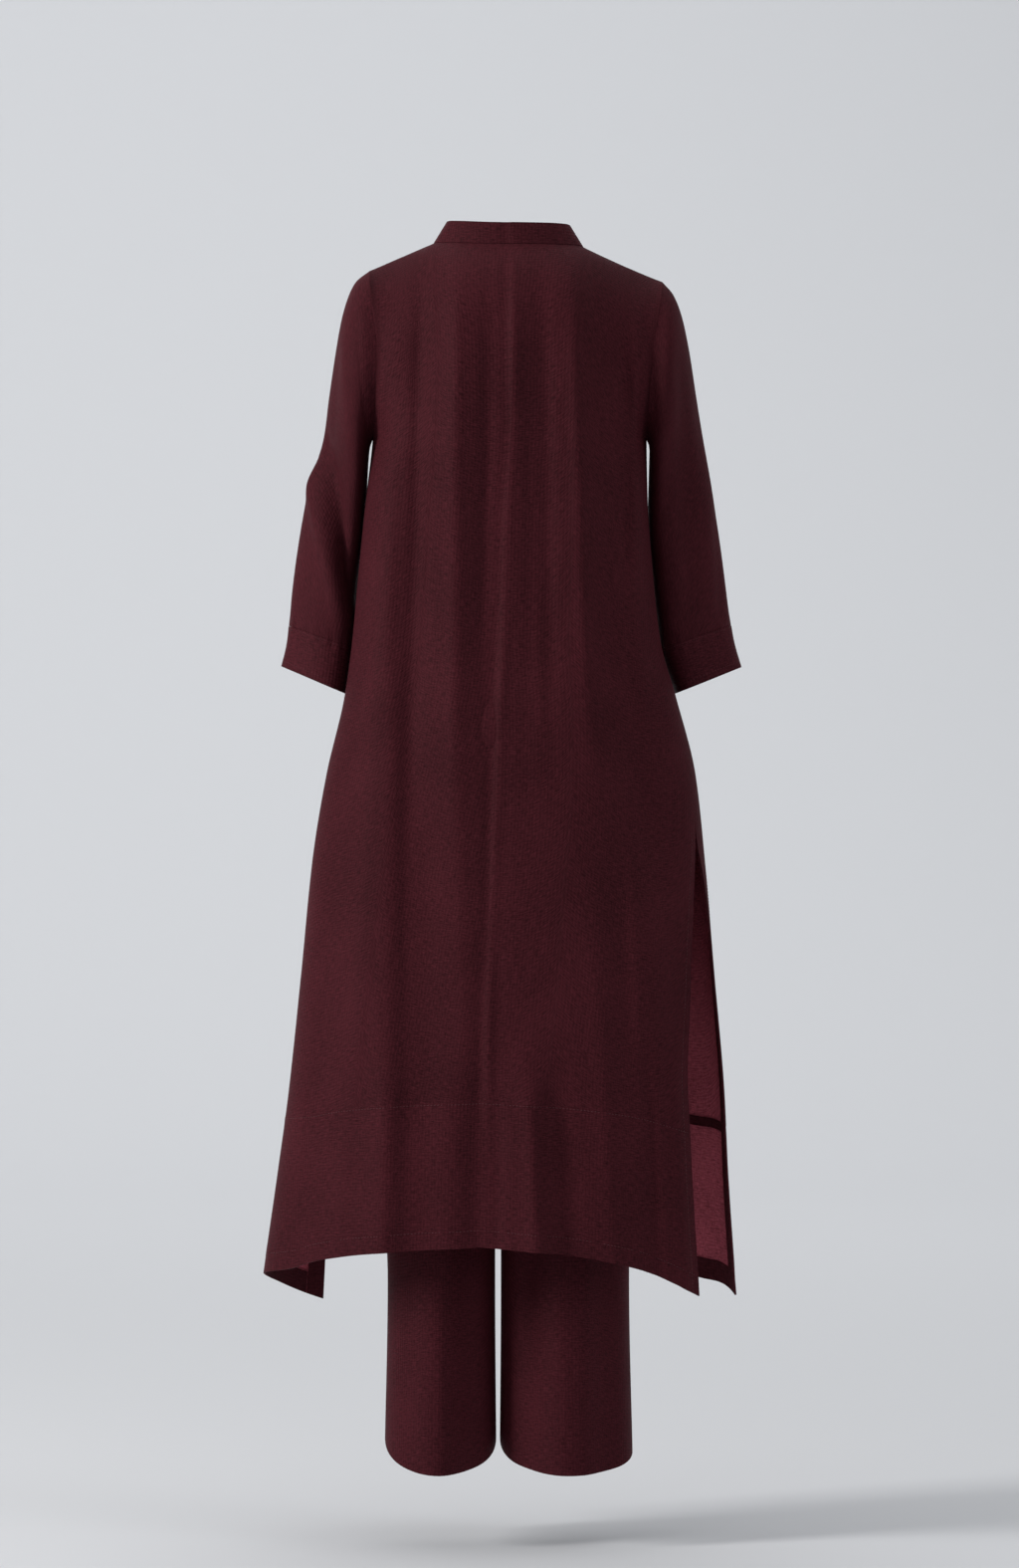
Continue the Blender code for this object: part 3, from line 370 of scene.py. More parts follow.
FINE_TROUSER_FOLDS = folds("back", [
    (-78, -1000, -80, -1460, 14, 6),
    (-114, -1050, -116, -1460, 11, -2.6),
    (90, -1020, 94, -1460, 14, 6.4),
    (27, -1100, 27, -1460, 10, -3),
    (136, -1100, 134, -1460, 9, 2),
]) + folds("front", [
    (-110, -1000, -112, -1460, 9, 2),
    (40, -1000, 40, -1460, 9, -2),
])

# Relief across the centre-back seam: how far right of it each lies, its spread and its height
Relief = namedtuple("Relief", "right spread height")
SEAM_VALLEY = Relief(-0.003, 0.007, -0.0024)
SEAM_RIDGE = Relief(0.006, 0.006, 0.0031)
RELIEF_FADES = (-1.06, -1.01)

# Puckers: waves along a seam, each with its rate, phase and share
HEM_WAVES = [(262, 0.4, 0.55), (417, 1.9, 0.35), (97, 0, 0.5)]
CUFF_WAVES = [(19, 0.7, 0.6), (31, 2.1, 0.4), (7, 0, 0.5)]
HEM_PUCKER = 0.00065
HEM_PUCKER_SPREAD = 0.010
BAND_PUCKER_SHARE = 0.7
BAND_PUCKER_SPREAD = 0.007
CUFF_PUCKER = 0.0010
CUFF_PUCKER_ROWS = 4.0

curves = {}


def smooth(table, field, at, key="z"):
    """A table's column read at places between its rows, on a curve that never overshoots."""
    name = (id(table), field, key)
    if name not in curves:
        rows = sorted(table, key=lambda row: getattr(row, key))
        xs = np.array([getattr(row, key) for row in rows])
        ys = np.array([getattr(row, field) for row in rows])
        slopes = np.diff(ys) / np.diff(xs)
        tangents = np.zeros(len(xs))
        tangents[0] = slopes[0]
        tangents[-1] = slopes[-1]
        for i in range(1, len(xs) - 1):
            if slopes[i - 1] * slopes[i] > 0:
                tangents[i] = 2 / (1 / slopes[i - 1] + 1 / slopes[i])
        curves[name] = (xs, ys, tangents)
    xs, ys, tangents = curves[name]
    at = np.clip(at, xs[0], xs[-1])
    i = np.clip(np.searchsorted(xs, at, side="right") - 1, 0, len(xs) - 2)
    step = xs[i + 1] - xs[i]
    u = (at - xs[i]) / step
    start = (1 + 2 * u) * (1 - u) ** 2 * ys[i] + u * (1 - u) ** 2 * step * tangents[i]
    end = u * u * (3 - 2 * u) * ys[i + 1] + u * u * (u - 1) * step * tangents[i + 1]
    return start + end


def ease(low, high, value):
    """0 at low, 1 at high, with a soft start and end."""
    u = np.clip((value - low) / (high - low), 0.0, 1.0)
    return u * u * (3 - 2 * u)


def signed_power(value, power):
    return np.copysign(np.abs(value) ** power, value)


def fold_height(x, z, back):
    """How far the folds push the cloth out at these places."""
    height = np.zeros_like(x)
    for fold in FOLDS + FINE_FOLDS:
        along = (fold.top_z - z) / (fold.top_z - fold.foot_z)
        middle = fold.top_x + (fold.foot_x - fold.top_x) * along
        strength = ease(-0.25, 0.25, along)
        if fold.foot_z > -1.2:
            strength = strength * (1 - ease(0.75, 1.30, along))
        bump = fold.height * strength * np.exp(-(((x - middle) / fold.spread) ** 2))
        height += np.where(back == (fold.side == "back"), bump, 0.0)
    return height


def shoulder_z(x):
    """Height of the shoulder seams' line at these distances from the neck's middle."""
    drop, fall, curve = [np.where(x > 0, right, left) for right, left in zip(SHOULDER_RIGHT, SHOULDER_LEFT)]
    beyond = np.abs(x) - NECK_HALF_WIDTH
    share = (x / NECK_HALF_WIDTH) ** 2
    inner = SHOULDER_RISE_AT_NECK * (1 - share) - drop * share
    return np.where(beyond < 0, inner, -drop - fall * beyond - curve * beyond * beyond)


def armhole_share(x, z):
    """1 half way down the armhole, and 0 at the shoulder seam and at the underarm."""
    top = shoulder_z(x)
    middle = (top + UNDERARM_Z) / 2
    half = (top - UNDERARM_Z) / 2
    return np.sqrt(np.clip(1 - ((z - middle) / half) ** 2, 0, None))


def by_side(turn, z):
    return np.where(turn > 0, smooth(SECTIONS, "right", z), smooth(SECTIONS, "left", z))


def torso(angle, z):
    """Points of the kaftan's middle surface, by angle round the body and height."""
    angle, z = np.broadcast_arrays(np.asarray(angle, float), np.asarray(z, float))
    radians = np.radians(angle)
    turn = np.sin(radians)
    back = np.cos(radians) >= 0
    roundness = smooth(SECTIONS, "roundness", z)
    x = by_side(turn, z) * signed_power(turn, 2 / roundness)
    depth = np.where(back, smooth(SECTIONS, "back", z), smooth(SECTIONS, "front", z))
    flat = 1 - ease(*YOKE_ELLIPSE, z)
    reach = np.abs(np.cos(radians)) ** (2 / (1 + (roundness - 1) * flat))
    over = (shoulder_z(x) - z) / np.where(back, YOKE_ROUND_BACK, YOKE_ROUND_FRONT)
    rounding = np.sqrt(np.clip(1 - (1 - np.clip(over, 0, 1)) ** 2, 0, None))
    arm = armhole_share(x, z) ** (1 + 3 * reach) * (1 - reach) ** 1.5
    arm = np.where(z > UNDERARM_Z, SLEEVE_LEFT[0].half_depth * arm, 0.0)
    y = np.maximum(depth * reach * rounding + arm, np.where(z > UNDERARM_Z, SEWN_GAP / 2, 0.0))
    y = y + fold_height(x, z, back) * np.minimum(1.0, 1.6 * reach) * rounding
    y = y + np.where(back, seam_relief(x, z), 0.0) * rounding
    return np.stack([x, np.where(back, -y, y) + slit_flare(angle, z), z], axis=-1)


def slit_flare(angle, z):
    """How far forward the front's edge swings beside the open slit on the right."""
    swing = np.clip((FLARE_START - angle) / (FLARE_START - 90), 0, 1) ** FLARE_CURVE
    lower = 1 - ease(FLARE_FULL_Z, SLIT_TOP_Z, z)
    return SLIT_FLARE * swing * ease(*FLARE_SOFT, angle) * lower


def seam_relief(x, z):
    """The centre-back seam lies in a slight valley, with a small ridge of cloth on its right."""
    centre = smooth(SEAMS, "centre", z)
    roundness = smooth(SECTIONS, "roundness", z)
    seam_x = smooth(SECTIONS, "left", z) * signed_power(np.sin(np.radians(centre)), 2 / roundness)
    away = x - seam_x
    above = ease(*RELIEF_FADES, z)
    valley, ridge = [each.height * np.exp(-((away - each.right) / each.spread) ** 2)
                     for each in (SEAM_VALLEY, SEAM_RIDGE)]
    wander = 0.6 + 0.4 * np.sin(z * 23.0 + 1.3) * np.sin(z * 9.0)
    return (valley + ridge * wander) * above


def torso_normal(angle, z):
    turn = 0.25
    drop = 0.0012
    around = torso(angle + turn, z) - torso(angle - turn, z)
    down = torso(angle, z - drop) - torso(angle, z + drop)
    normal = np.cross(down, around)
    return normal / np.linalg.norm(normal, axis=-1, keepdims=True)


def ripple(at, waves):
    return sum(np.sin(at * rate + phase) * share for rate, phase, share in waves)


def unit(vectors):
    return vectors / np.maximum(np.linalg.norm(vectors, axis=-1, keepdims=True), 1e-12)


def grid_normals(points, closed=False):
    """Normals of a grid from its own neighbours, pointing out of a tube wound right-handed."""
    if closed:
        around = np.roll(points, -1, axis=1) - np.roll(points, 1, axis=1)
    else:
        around = np.gradient(points, axis=1)
    return unit(np.cross(np.gradient(points, axis=0), around))


def cloth_lengths(points):
    """Distances across and down the cloth at each grid point, for the weave."""
    across = np.linalg.norm(np.diff(points, axis=1), axis=2)
    down = np.linalg.norm(np.diff(points, axis=0), axis=2)
    u = np.concatenate([np.zeros((points.shape[0], 1)), np.cumsum(across, axis=1)], axis=1)
    v = np.concatenate([np.zeros((1, points.shape[1])), np.cumsum(down, axis=0)], axis=0)
    return u - u[:, u.shape[1] // 2][:, None], v


def cloth_piece(name, points, normals, thickness, materials, lift=0.0, closed=False, keep=None):
    """A thin shell of cloth round a grid of points, with its weave's coordinates in metres."""
    rows, columns = points.shape[:2]
    u, v = cloth_lengths(points)
    if closed:
        points = np.concatenate([points, points[:, :1]], axis=1)
        seam = u[:, -1:] + np.linalg.norm(points[:, -1:] - points[:, -2:-1], axis=2)
        u = np.concatenate([u, seam], axis=1)
        v = np.concatenate([v, v[:, :1]], axis=1)
    across = points.shape[1] - 1
    outer = (points[:, :columns] + normals * (lift + thickness / 2)).reshape(-1, 3)
    inner = (points[:, :columns] + normals * (lift - thickness / 2)).reshape(-1, 3)
    layer = rows * columns
    faces, slots, spots = [], [], []
    edges = {}
    flipped = np.sum(grid_normals(points[:, :columns], closed) * normals) < 0
    for row in range(rows - 1):
        for column in range(across):
            if keep is not None and not keep[row, column]:
                continue
            loop = [(row, column), (row + 1, column), (row + 1, column + 1), (row, column + 1)]
            index = [place[0] * columns + place[1] % columns for place in loop]
            faces += [index, [layer + i for i in reversed(index)]]
            slots += [0, 1]
            spots += [loop, list(reversed(loop))]
            for i in range(4):
                edge = (index[i], index[(i + 1) % 4])
                if edge[::-1] in edges:
                    del edges[edge[::-1]]
                else:
                    edges[edge] = (loop[i], loop[(i + 1) % 4])
    for (start, end), (first, second) in edges.items():
        faces.append([end, start, layer + start, layer + end])
        slots.append(0)
        spots.append([second, first, first, second])
    if flipped:
        faces = [face[::-1] for face in faces]
        spots = [spot[::-1] for spot in spots]
    mesh = bpy.data.meshes.new(name)
    mesh.from_pydata(np.concatenate([outer, inner]).tolist(), [], faces)
    for material in materials:
        mesh.materials.append(material)
    mesh.polygons.foreach_set("material_index", [min(slot, len(materials) - 1) for slot in slots])
    weave = mesh.uv_layers.new(name="weave")
    flat = [coordinate for spot in spots for place in spot for coordinate in (u[place], v[place])]
    weave.data.foreach_set("uv", flat)
    mesh.update()
    mesh.shade_smooth()
    mesh.set_sharp_from_angle(angle=math.radians(60))
    return add_object(name, mesh)


def add_object(name, data):
    added = bpy.data.objects.new(name, data)
    bpy.context.scene.collection.objects.link(added)
    return added


def dress(node, slot, points, normals, thickness, materials, held="hung", rests_on=(),
          closed=False, **shell):
    """Puts a shell of cloth in its node's place on the body, and states its cut."""
    piece = cloth_piece("shell_" + node, points, normals, thickness, materials, closed=closed, **shell)
    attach(piece, "root")
    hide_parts(node)
    u, v = cloth_lengths(points)
    width = float((u[:, -1] - u[:, 0]).max())
    if closed:
        width += float(np.linalg.norm(points[:, 0] - points[:, -1], axis=1).max())
    length = max(float(v[-1].max()), SHORTEST_CUT)
    cells = np.cross(np.diff(points, axis=0)[:, :-1], np.diff(points, axis=1)[:-1])
    area = float(np.linalg.norm(cells, axis=2).sum())
    if closed:
        area *= points.shape[1] / (points.shape[1] - 1)
    area = min(max(area, LEAST_CUT_SHARE * width * length), width * length)
    print("cut", node, [round(value, 3) for value in (width, length, area)])


def neckline_z(x, back):
    share = np.clip(1 - (x / NECK_HALF_WIDTH) ** 2, 0, None)
    drop = np.where(x > 0, SHOULDER_RIGHT.drop, SHOULDER_LEFT.drop) * (1 - share)
    lowest = NECK_DROP_BACK * share if back else NECK_DROP_FRONT * share ** NECK_CURVE_FRONT
    return -lowest - drop


def angle_at_x(x, z):
    share = np.minimum(1.0, np.abs(x) / by_side(np.asarray(x), z))
    return np.copysign(np.degrees(np.arcsin(share ** (smooth(SECTIONS, "roundness", z) / 2))), x)


def top_z(angle, back):
    """Height of a panel's top edge, neckline or shoulder seam, at these angles."""
    turn = np.sin(np.radians(angle))
    z = np.full_like(angle, -0.02)
    for _ in range(6):
        x = by_side(turn, z) * signed_power(turn, 2 / smooth(SECTIONS, "roundness", z))
        z = np.where(np.abs(x) < NECK_HALF_WIDTH, neckline_z(x, back), shoulder_z(x))
    return z


def hem_z(side, share):
    length = BACK_LENGTH if side.startswith("back") else FRONT_LENGTH
    return -length - smooth(HEM_DROPS, side, share, key="share")


def band_seam_z(side, share):
    middle = hem_z(side, 0.0)
    return middle + BACK_LENGTH + BAND_SEAM_Z - BAND_SEAM_FOLLOWS_HEM * (middle - hem_z(side, share))


def trimmed(angle, z, inward):
    """An edge's angle moved half a seam gap into its own panel."""
    near = np.minimum(z, UNDERARM_Z)
    step = 0.02
    speed = np.linalg.norm(torso(angle + step, near) - torso(angle - step, near), axis=-1) / (2 * step)
    return angle + inward * SEWN_GAP / 2 / speed


def side_angle(side, z):
    """The angle of a panel's side edge: its seam, and lower down its slit."""
    right = smooth(SEAMS, "right_back", z)
    left = smooth(SEAMS, "left_back", z)
    angle = {"back_right": right, "back_left": left,
             "front_right": np.maximum(right, smooth(SEAMS, "right_front", z)),
             "front_left": 360 + np.minimum(left, smooth(SEAMS, "left_front", z))}[side]
    inward = {"back_left": 1, "back_right": -1, "front_left": -1, "front_right": 1}[side]
    return trimmed(angle, z, inward)


def middle_angle(side, z):
    angle = smooth(SEAMS, "centre", z)
    if side.startswith("front"):
        return 180 + angle
    return trimmed(angle, z, -1 if side == "back_left" else 1)


def column_angle(side, share, z):
    middle = middle_angle(side, z)
    return middle + share * (side_angle(side, z) - middle)


def half_shares(side):
    """Where a panel's columns stand, from 0 at the middle to 1 at the side."""
    back = side.startswith("back")
    sign = -1.0 if side.endswith("left") else 1.0
    foot = neckline_z(np.array(NECK_HALF_WIDTH), back)
    neck = abs(float(angle_at_x(np.array(sign * NECK_HALF_WIDTH), foot))) / 90
    turned = 1 - SLIT_TURNING_SHARE
    crowding = SEAM_CROWDING if back else 1.0
    inner = neck * np.linspace(0, 1, COLUMNS_NECK, endpoint=False) ** crowding
    outer = np.linspace(neck, turned, COLUMNS_SIDE, endpoint=False)
    return np.concatenate([inner, outer, np.linspace(turned, 1, 4)])


def yoke_heights(side, shares):
    """Heights of the grid between a panel's top edge and the underarm."""
    top_angles = column_angle(side, shares, np.full_like(shares, UNDERARM_Z))
    top = top_z(top_angles, side.startswith("back"))
    shoulder = ease(0.40, 0.60, shares)
    edge_weight = ease(0.80, 1.0, shares)
    step = np.arange(ROWS_YOKE + 1)[:, None] / ROWS_YOKE
    even = step ** (1 + 0.9 * shoulder)
    edge = (1 - np.cos(np.pi * step)) / 2
    return top + (UNDERARM_Z - top) * (even + (edge - even) * edge_weight)


def panel_grid(side, shares):
    """A body panel's points and normals from its top edge to the hem band's seam."""
    yoke = yoke_heights(side, shares)
    waist = np.linspace(UNDERARM_Z, SLIT_TOP_Z, ROWS_WAIST + 1)[1:, None] * np.ones_like(shares)
    foot = band_seam_z(side, shares) + SEWN_GAP / 2
    steps = np.linspace(0, 1, ROWS_SKIRT + 1)[1:, None]
    skirt = SLIT_TOP_Z + (foot - SLIT_TOP_Z) * steps
    z = np.concatenate([yoke, waist, skirt])
    angle = column_angle(side, shares, z)
    points, normals = torso(angle, z), torso_normal(angle, z)
    beyond = np.abs(points[0, :, 0]) > NECK_HALF_WIDTH * 0.99
    normals[0, beyond, 1] = 0
    return points, unit(normals)


def band_rows(side, shares, steps, gap):
    """Rows of a hem band at shares of its height, below the given gap at its seam."""
    top = band_seam_z(side, shares) - gap / 2
    z = top + (hem_z(side, shares) - top) * steps[:, None]
    angle = column_angle(side, shares, z)
    return torso(angle, z), torso_normal(angle, z)


def band_grid(side, shares):
    return band_rows(side, shares, np.linspace(0, 1, ROWS_BAND + 1), SEWN_GAP)


def strip_grid(side, shares, start, end):
    return band_rows(side, shares, np.linspace(start, end, STRIP_ROWS + 1), SEAM_GAP)


def slit_edge(side, shares):
    """Points and normals beside a slit, from its top to the hem."""
    first = ROWS_YOKE + ROWS_WAIST + 1
    pairs = zip(panel_grid(side, shares), band_grid(side, shares))
    return [np.concatenate([above[first:], below[1:]]) for above, below in pairs]


def both(halves, shared_middle):
    """Joins the points and the normals of two halves."""
    start = 1 if shared_middle else 0
    return [np.concatenate([a[:, ::-1], b[:, start:]], axis=1) for a, b in zip(*halves)]


def ring_grid(table, rings, sign):
    """Rings along a sleeve from its outer edge round behind, wound so that normals point out."""
    steps = (np.arange(rings + 1) / rings) ** RING_CROWDING
    values = {field: smooth(table, field, steps, key="step") for field in Ring._fields[1:]}
    outer = np.stack([values["outer_x"], 0 * steps, values["outer_z"]], axis=1)
    inner = np.stack([values["inner_x"], 0 * steps, values["inner_z"]], axis=1)
    turn = 2 * np.pi * np.arange(SLEEVE_SIDES) / SLEEVE_SIDES
    middle = ((outer + inner) / 2)[:, None]
    lean = values["skew"][:, None] * np.maximum(0, np.sin(turn)) ** 2
    points = middle + ((outer - inner) / 2)[:, None] * (np.cos(turn) - lean)[:, :, None]
    points[:, :, 1] = values["middle_y"][:, None] - values["half_depth"][:, None] * np.sin(turn)
    if sign > 0:
        points = np.roll(points[:, ::-1], 1, axis=1)
    return points


def sleeve_creases(points, creases):
    """Pushes a sleeve's cloth out along its folds and in along its hollows."""
    normals = grid_normals(points, closed=True)
    push = np.zeros(points.shape[:2])
    for fold in creases + FINE_SLEEVE_FOLDS:
        start = np.array([fold.top_x, fold.top_z])
        run = np.array([fold.foot_x, fold.foot_z]) - start
        offset = points[:, :, [0, 2]] - start
        along = offset @ run / float(run @ run)
        across = (run[0] * offset[:, :, 1] - run[1] * offset[:, :, 0]) / float(np.linalg.norm(run))
        strength = ease(-0.3, 0.2, along) * (1 - ease(0.8, 1.3, along))
        beyond = points[:, :, 1] - points[:, :, 1].mean(axis=1, keepdims=True)
        strength = strength * np.minimum(1.0, np.abs(beyond) / 0.02)
        same = (beyond < 0) == (fold.side == "back")
        push += np.where(same, fold.height * strength * np.exp(-((across / fold.spread) ** 2)), 0)
    rows = points.shape[0]
    row = np.arange(rows)
    ends = np.minimum(ease(0, 0.10 * rows, row), ease(0, 0.03 * rows, rows - 1 - row))
    return points + normals * (push * ends[:, None])[:, :, None]


def cuff_puckers(points, top_row):
    """Small gathers where a sleeve is sewn to its cuff."""
    rows, sides = points.shape[:2]
    turn = 2 * np.pi * np.arange(sides) / sides
    distance = np.abs(np.arange(rows) - top_row)
    height = CUFF_PUCKER * np.exp(-((distance / CUFF_PUCKER_ROWS) ** 2))
    push = height[:, None] * ripple(turn, CUFF_WAVES)
    return points + grid_normals(points, closed=True) * push[:, :, None]


def make_kaftan_panels(outer, inner):
    def panel(node, points, normals, **more):
        dress(node, "kaftan_cloth", points, normals, CLOTH, (outer, inner), **more)

    def hem_band(node, sides, sewn_to):
        points, normals = both([band_grid(side, half_shares(side)) for side in sides], True)
        panel(node, hem_puckers(points, normals), normals, rests_on=[sewn_to])

    for side in ("back_left", "back_right"):
        panel(side, *panel_grid(side, half_shares(side)))
    hem_band("hem_band_back", ("back_left", "back_right"), "shell_back_left")
    halves = []
    for side, sign in (("front_right", 1.0), ("front_left", -1.0)):
        shares = half_shares(side)
        edge_x = np.array(sign * NECK_SLIT_HALF_WIDTH)
        shares[0] = abs(float(angle_at_x(edge_x, np.array(UNDERARM_Z)))) / 90
        halves.append(panel_grid(side, shares))
    points, normals = both(halves, False)
    keep = np.ones((points.shape[0] - 1, points.shape[1] - 1), bool)
    keep[:ROWS_YOKE, halves[0][0].shape[1] - 1] = False
    panel("front", points, normals, keep=keep)
    hem_band("hem_band_front", ("front_right", "front_left"), "shell_front")


def hem_puckers(points, normals):
    """The hem's sewing draws the cloth up in small, uneven waves."""
    u, v = cloth_lengths(points)
    from_hem = v[-1] - v
    line = np.exp(-(((from_hem - HEM_TURNING) / HEM_PUCKER_SPREAD) ** 2))
    seam = BAND_PUCKER_SHARE * np.exp(-((v / BAND_PUCKER_SPREAD) ** 2))
    return points + normals * ((line + seam) * ripple(u, HEM_WAVES) * HEM_PUCKER)[:, :, None]


def make_sleeves(outer, inner):
    for hand, table, creases, sign in (("left", SLEEVE_LEFT, SLEEVE_FOLDS_LEFT, -1),
                                       ("right", SLEEVE_RIGHT, SLEEVE_FOLDS_RIGHT, 1)):
        points = ring_grid(table, SLEEVE_RINGS, sign)
        points[0, :, 0] = sign * (smooth(SECTIONS, hand, points[0, :, 2]) + HEAD_GAP)
        points = sleeve_creases(settle_head(points), creases)
        points = cuff_puckers(points, SLEEVE_RINGS)
        dress("sleeve_" + hand, "kaftan_cloth", points, grid_normals(points, True), CLOTH,
              (outer, inner), closed=True)
    for hand, table, sign in CUFFS:
        points = cuff_puckers(ring_grid(table, CUFF_RINGS, sign), 0)
        dress("cuff_" + hand, "kaftan_cloth", points, grid_normals(points, True), CUFF_CLOTH,
              (outer, outer), closed=True, rests_on=["shell_sleeve_" + hand])


def settle_head(points):
    """Eases the first rings from the armhole's own curve to the sleeve's."""
    shift = points[0] - (2 * points[1] - points[2])
    moved = points.copy()
    for row in range(1, HEAD_RINGS):
        moved[row] += shift * HEAD_PULL * (1 - row / HEAD_RINGS) ** 2 * np.array([1, 0, 0])
    return moved


def neck_shares(side):
    """A panel's columns along the neck, from the middle, or from the collar's end in front."""
    shares = half_shares(side)[:COLUMNS_NECK + 1]
    if side.startswith("front"):
        shares[0] = COLLAR_END_SHARE
    return shares


def collar_grid():
    """The stand collar's points, from one end at the front slit round behind to the other."""
    angles = np.concatenate([
        180 - 90 * neck_shares("front_right"),
        90 * neck_shares("back_right")[::-1],
        360 - 90 * neck_shares("back_left")[1:],
        180 + 90 * neck_shares("front_left")[::-1],
    ])
    behind = np.cos(np.radians(angles)) >= 0
    z = np.where(behind, top_z(angles, True), top_z(angles, False))
    seam = torso(angles, z)
    normals = torso_normal(angles, z - 0.002)
    edge = unit(np.gradient(seam, axis=0))
    lean = seam * np.array([-1.0, -COLLAR_LEAN_BACK, 0.0]) * COLLAR_LEAN / NECK_HALF_WIDTH
    rise = lean + np.array([0.0, 0.0, COLLAR_HEIGHT])
    inward = np.cross(normals, edge)
    inward *= np.copysign(1.0, inward[:, 2] + 0.2 * np.sum(inward * rise, axis=1))[:, None]
    upward = unit(unit(rise) - edge * np.sum(unit(rise) * edge, axis=1)[:, None])
    bend = np.arccos(np.clip(np.sum(inward * upward, axis=1), -1, 1))
    gap = SEAM_GAP + (CLOTH + COLLAR_CLOTH) / 2 * np.tan(np.minimum(bend, 2.0) / 2)
    foot = seam + (inward + upward) * gap[:, None] * COLLAR_FOOT_SHARE
    points = foot + rise * np.linspace(0, 1, COLLAR_ROWS + 1)[:, None, None]
    normals = grid_normals(points)
    if normals[0, len(angles) // 2, 1] > 0:
        normals = -normals
    return points, normals


def make_collar(cloth):
    points, normals = collar_grid()
    dress("collar", "kaftan_cloth", points, normals, COLLAR_CLOTH, (cloth, cloth),
          rests_on=["shell_back_left", "shell_back_right"])


# The piece that each slit's turned edge lies on
PANELS = {"front_right": "front", "back_right": "back_right",
          "front_left": "front", "back_left": "back_left"}


def turning_share(side):
    """The right slit gapes, and there the front's turned edge is a broad one."""
    return BROAD_TURNING_SHARE if side == "front_right" else SLIT_TURNING_SHARE


def make_turnings(cloth):
    """The turned edges inside the slits and hems, and the seam allowance inside the front, which shows dark
    against the painted light of the front's inner face.
    """
    def strip(node, points, normals, panel):
        dress(node, "turned_cloth", points, normals, TURNING_CLOTH, (cloth, cloth), held="laid",
              rests_on=["shell_" + panel], lift=-(CLOTH / 2 + SEAM_GAP + TURNING_CLOTH / 2))

    for side, panel in PANELS.items():
        shares = np.linspace(1 - turning_share(side), 1, TURNING_COLUMNS + 1)
        strip("slit_turning_" + side, *slit_edge(side, shares), panel)
    turned = 1 - HEM_TURNING / BAND_HEIGHT
    for node, face, start, end in (("hem_turning_back", "back", turned, 1.0),
                                   ("hem_turning_front", "front", turned, 1.0),
                                   ("band_seam_front", "front", 0.0, BAND_SEAM_ALLOWANCE / BAND_HEIGHT)):
        halves = []
        for side in (face + "_left", face + "_right"):
            limit = 1 - turning_share(side) - 0.003
            shares = half_shares(side)
            shares = np.append(shares[shares < limit - 0.004], limit)
            halves.append(strip_grid(side, shares, start, end))
        strip(node, *both(halves, True), "hem_band_" + face)


def leg_grid(sign, back):
    """One trouser panel: across is 0 at the middle or inside leg and 1 at the side seam."""
    across = np.linspace(0, 1, LEG_COLUMNS + 1)[None, :]
    down = np.linspace(0, 1, LEG_ROWS + 1)[:, None]
    side = TROUSER_HEM_SIDE_RIGHT if sign > 0 else TROUSER_HEM_SIDE_LEFT
    side = np.where(across < 0.5, TROUSER_HEM_INSIDE, side)
    middle = TROUSER_HEM_BACK if back else TROUSER_HEM_FRONT
    hem = side + (middle - side) * np.abs(np.sin(np.pi * across)) ** TROUSER_HEM_CURVE
    z = WAIST_Z - SEAM_GAP / 2 + (hem - WAIST_Z) * down
    across = across * np.ones_like(z)
    outer = smooth(LEGS, "outer_right" if sign > 0 else "outer_left", z)
    inner = smooth(LEGS, "inner", z)
    depth = smooth(LEGS, "half_depth", z)
    fall = np.clip((SEAT_Z - z) / (SEAT_Z - CROTCH_Z), 0.0, 1.0)
    leg = 1 - np.sqrt(1 - fall * fall)
    quarter = np.pi / 2 * across
    half = np.pi * across
    hip_x = outer * np.sin(quarter) ** TROUSER_SQUARENESS
    hip_y = depth * np.abs(np.cos(quarter)) ** TROUSER_SQUARENESS
    tube_x = (outer + inner) / 2 - (outer - inner) / 2 * np.cos(half)
    tube_y = depth * np.abs(np.sin(half)) ** TROUSER_SQUARENESS
    x = np.maximum(hip_x * (1 - leg) + tube_x * leg, SEAM_GAP / 2 + CLOTH / 2 * np.minimum(1, 6 * leg))
    y = np.maximum(hip_y * (1 - leg) + tube_y * leg, SEWN_GAP / 2)
    x = sign * x + TROUSER_SHIFT * ease(-CROTCH_Z, 1.20, -z)
    y = y + leg_folds(x, z, back) * np.sin(np.pi * across)
    return np.stack([x, -y if back else y, z], axis=-1)


def leg_folds(x, z, back):
    push = np.zeros_like(x)
    for fold in TROUSER_FOLDS + FINE_TROUSER_FOLDS:
        if (fold.side == "back") != back:
            continue
        along = (fold.top_z - z) / (fold.top_z - fold.foot_z)
        middle = fold.top_x + (fold.foot_x - fold.top_x) * along
        push += fold.height * ease(-0.1, 0.4, along) * np.exp(-(((x - middle) / fold.spread) ** 2))
    return push


def make_trousers(outer, inner):
    for sign, hand in ((-1, "left"), (1, "right")):
        for back, face in ((True, "back"), (False, "front")):
            points = leg_grid(sign, back)
            if (sign > 0) != back:
                points = points[:, ::-1]
            dress(f"trouser_{face}_{hand}", "trouser_cloth", points, grid_normals(points), CLOTH,
                  (outer, inner), rests_on=["shell_waistband"])


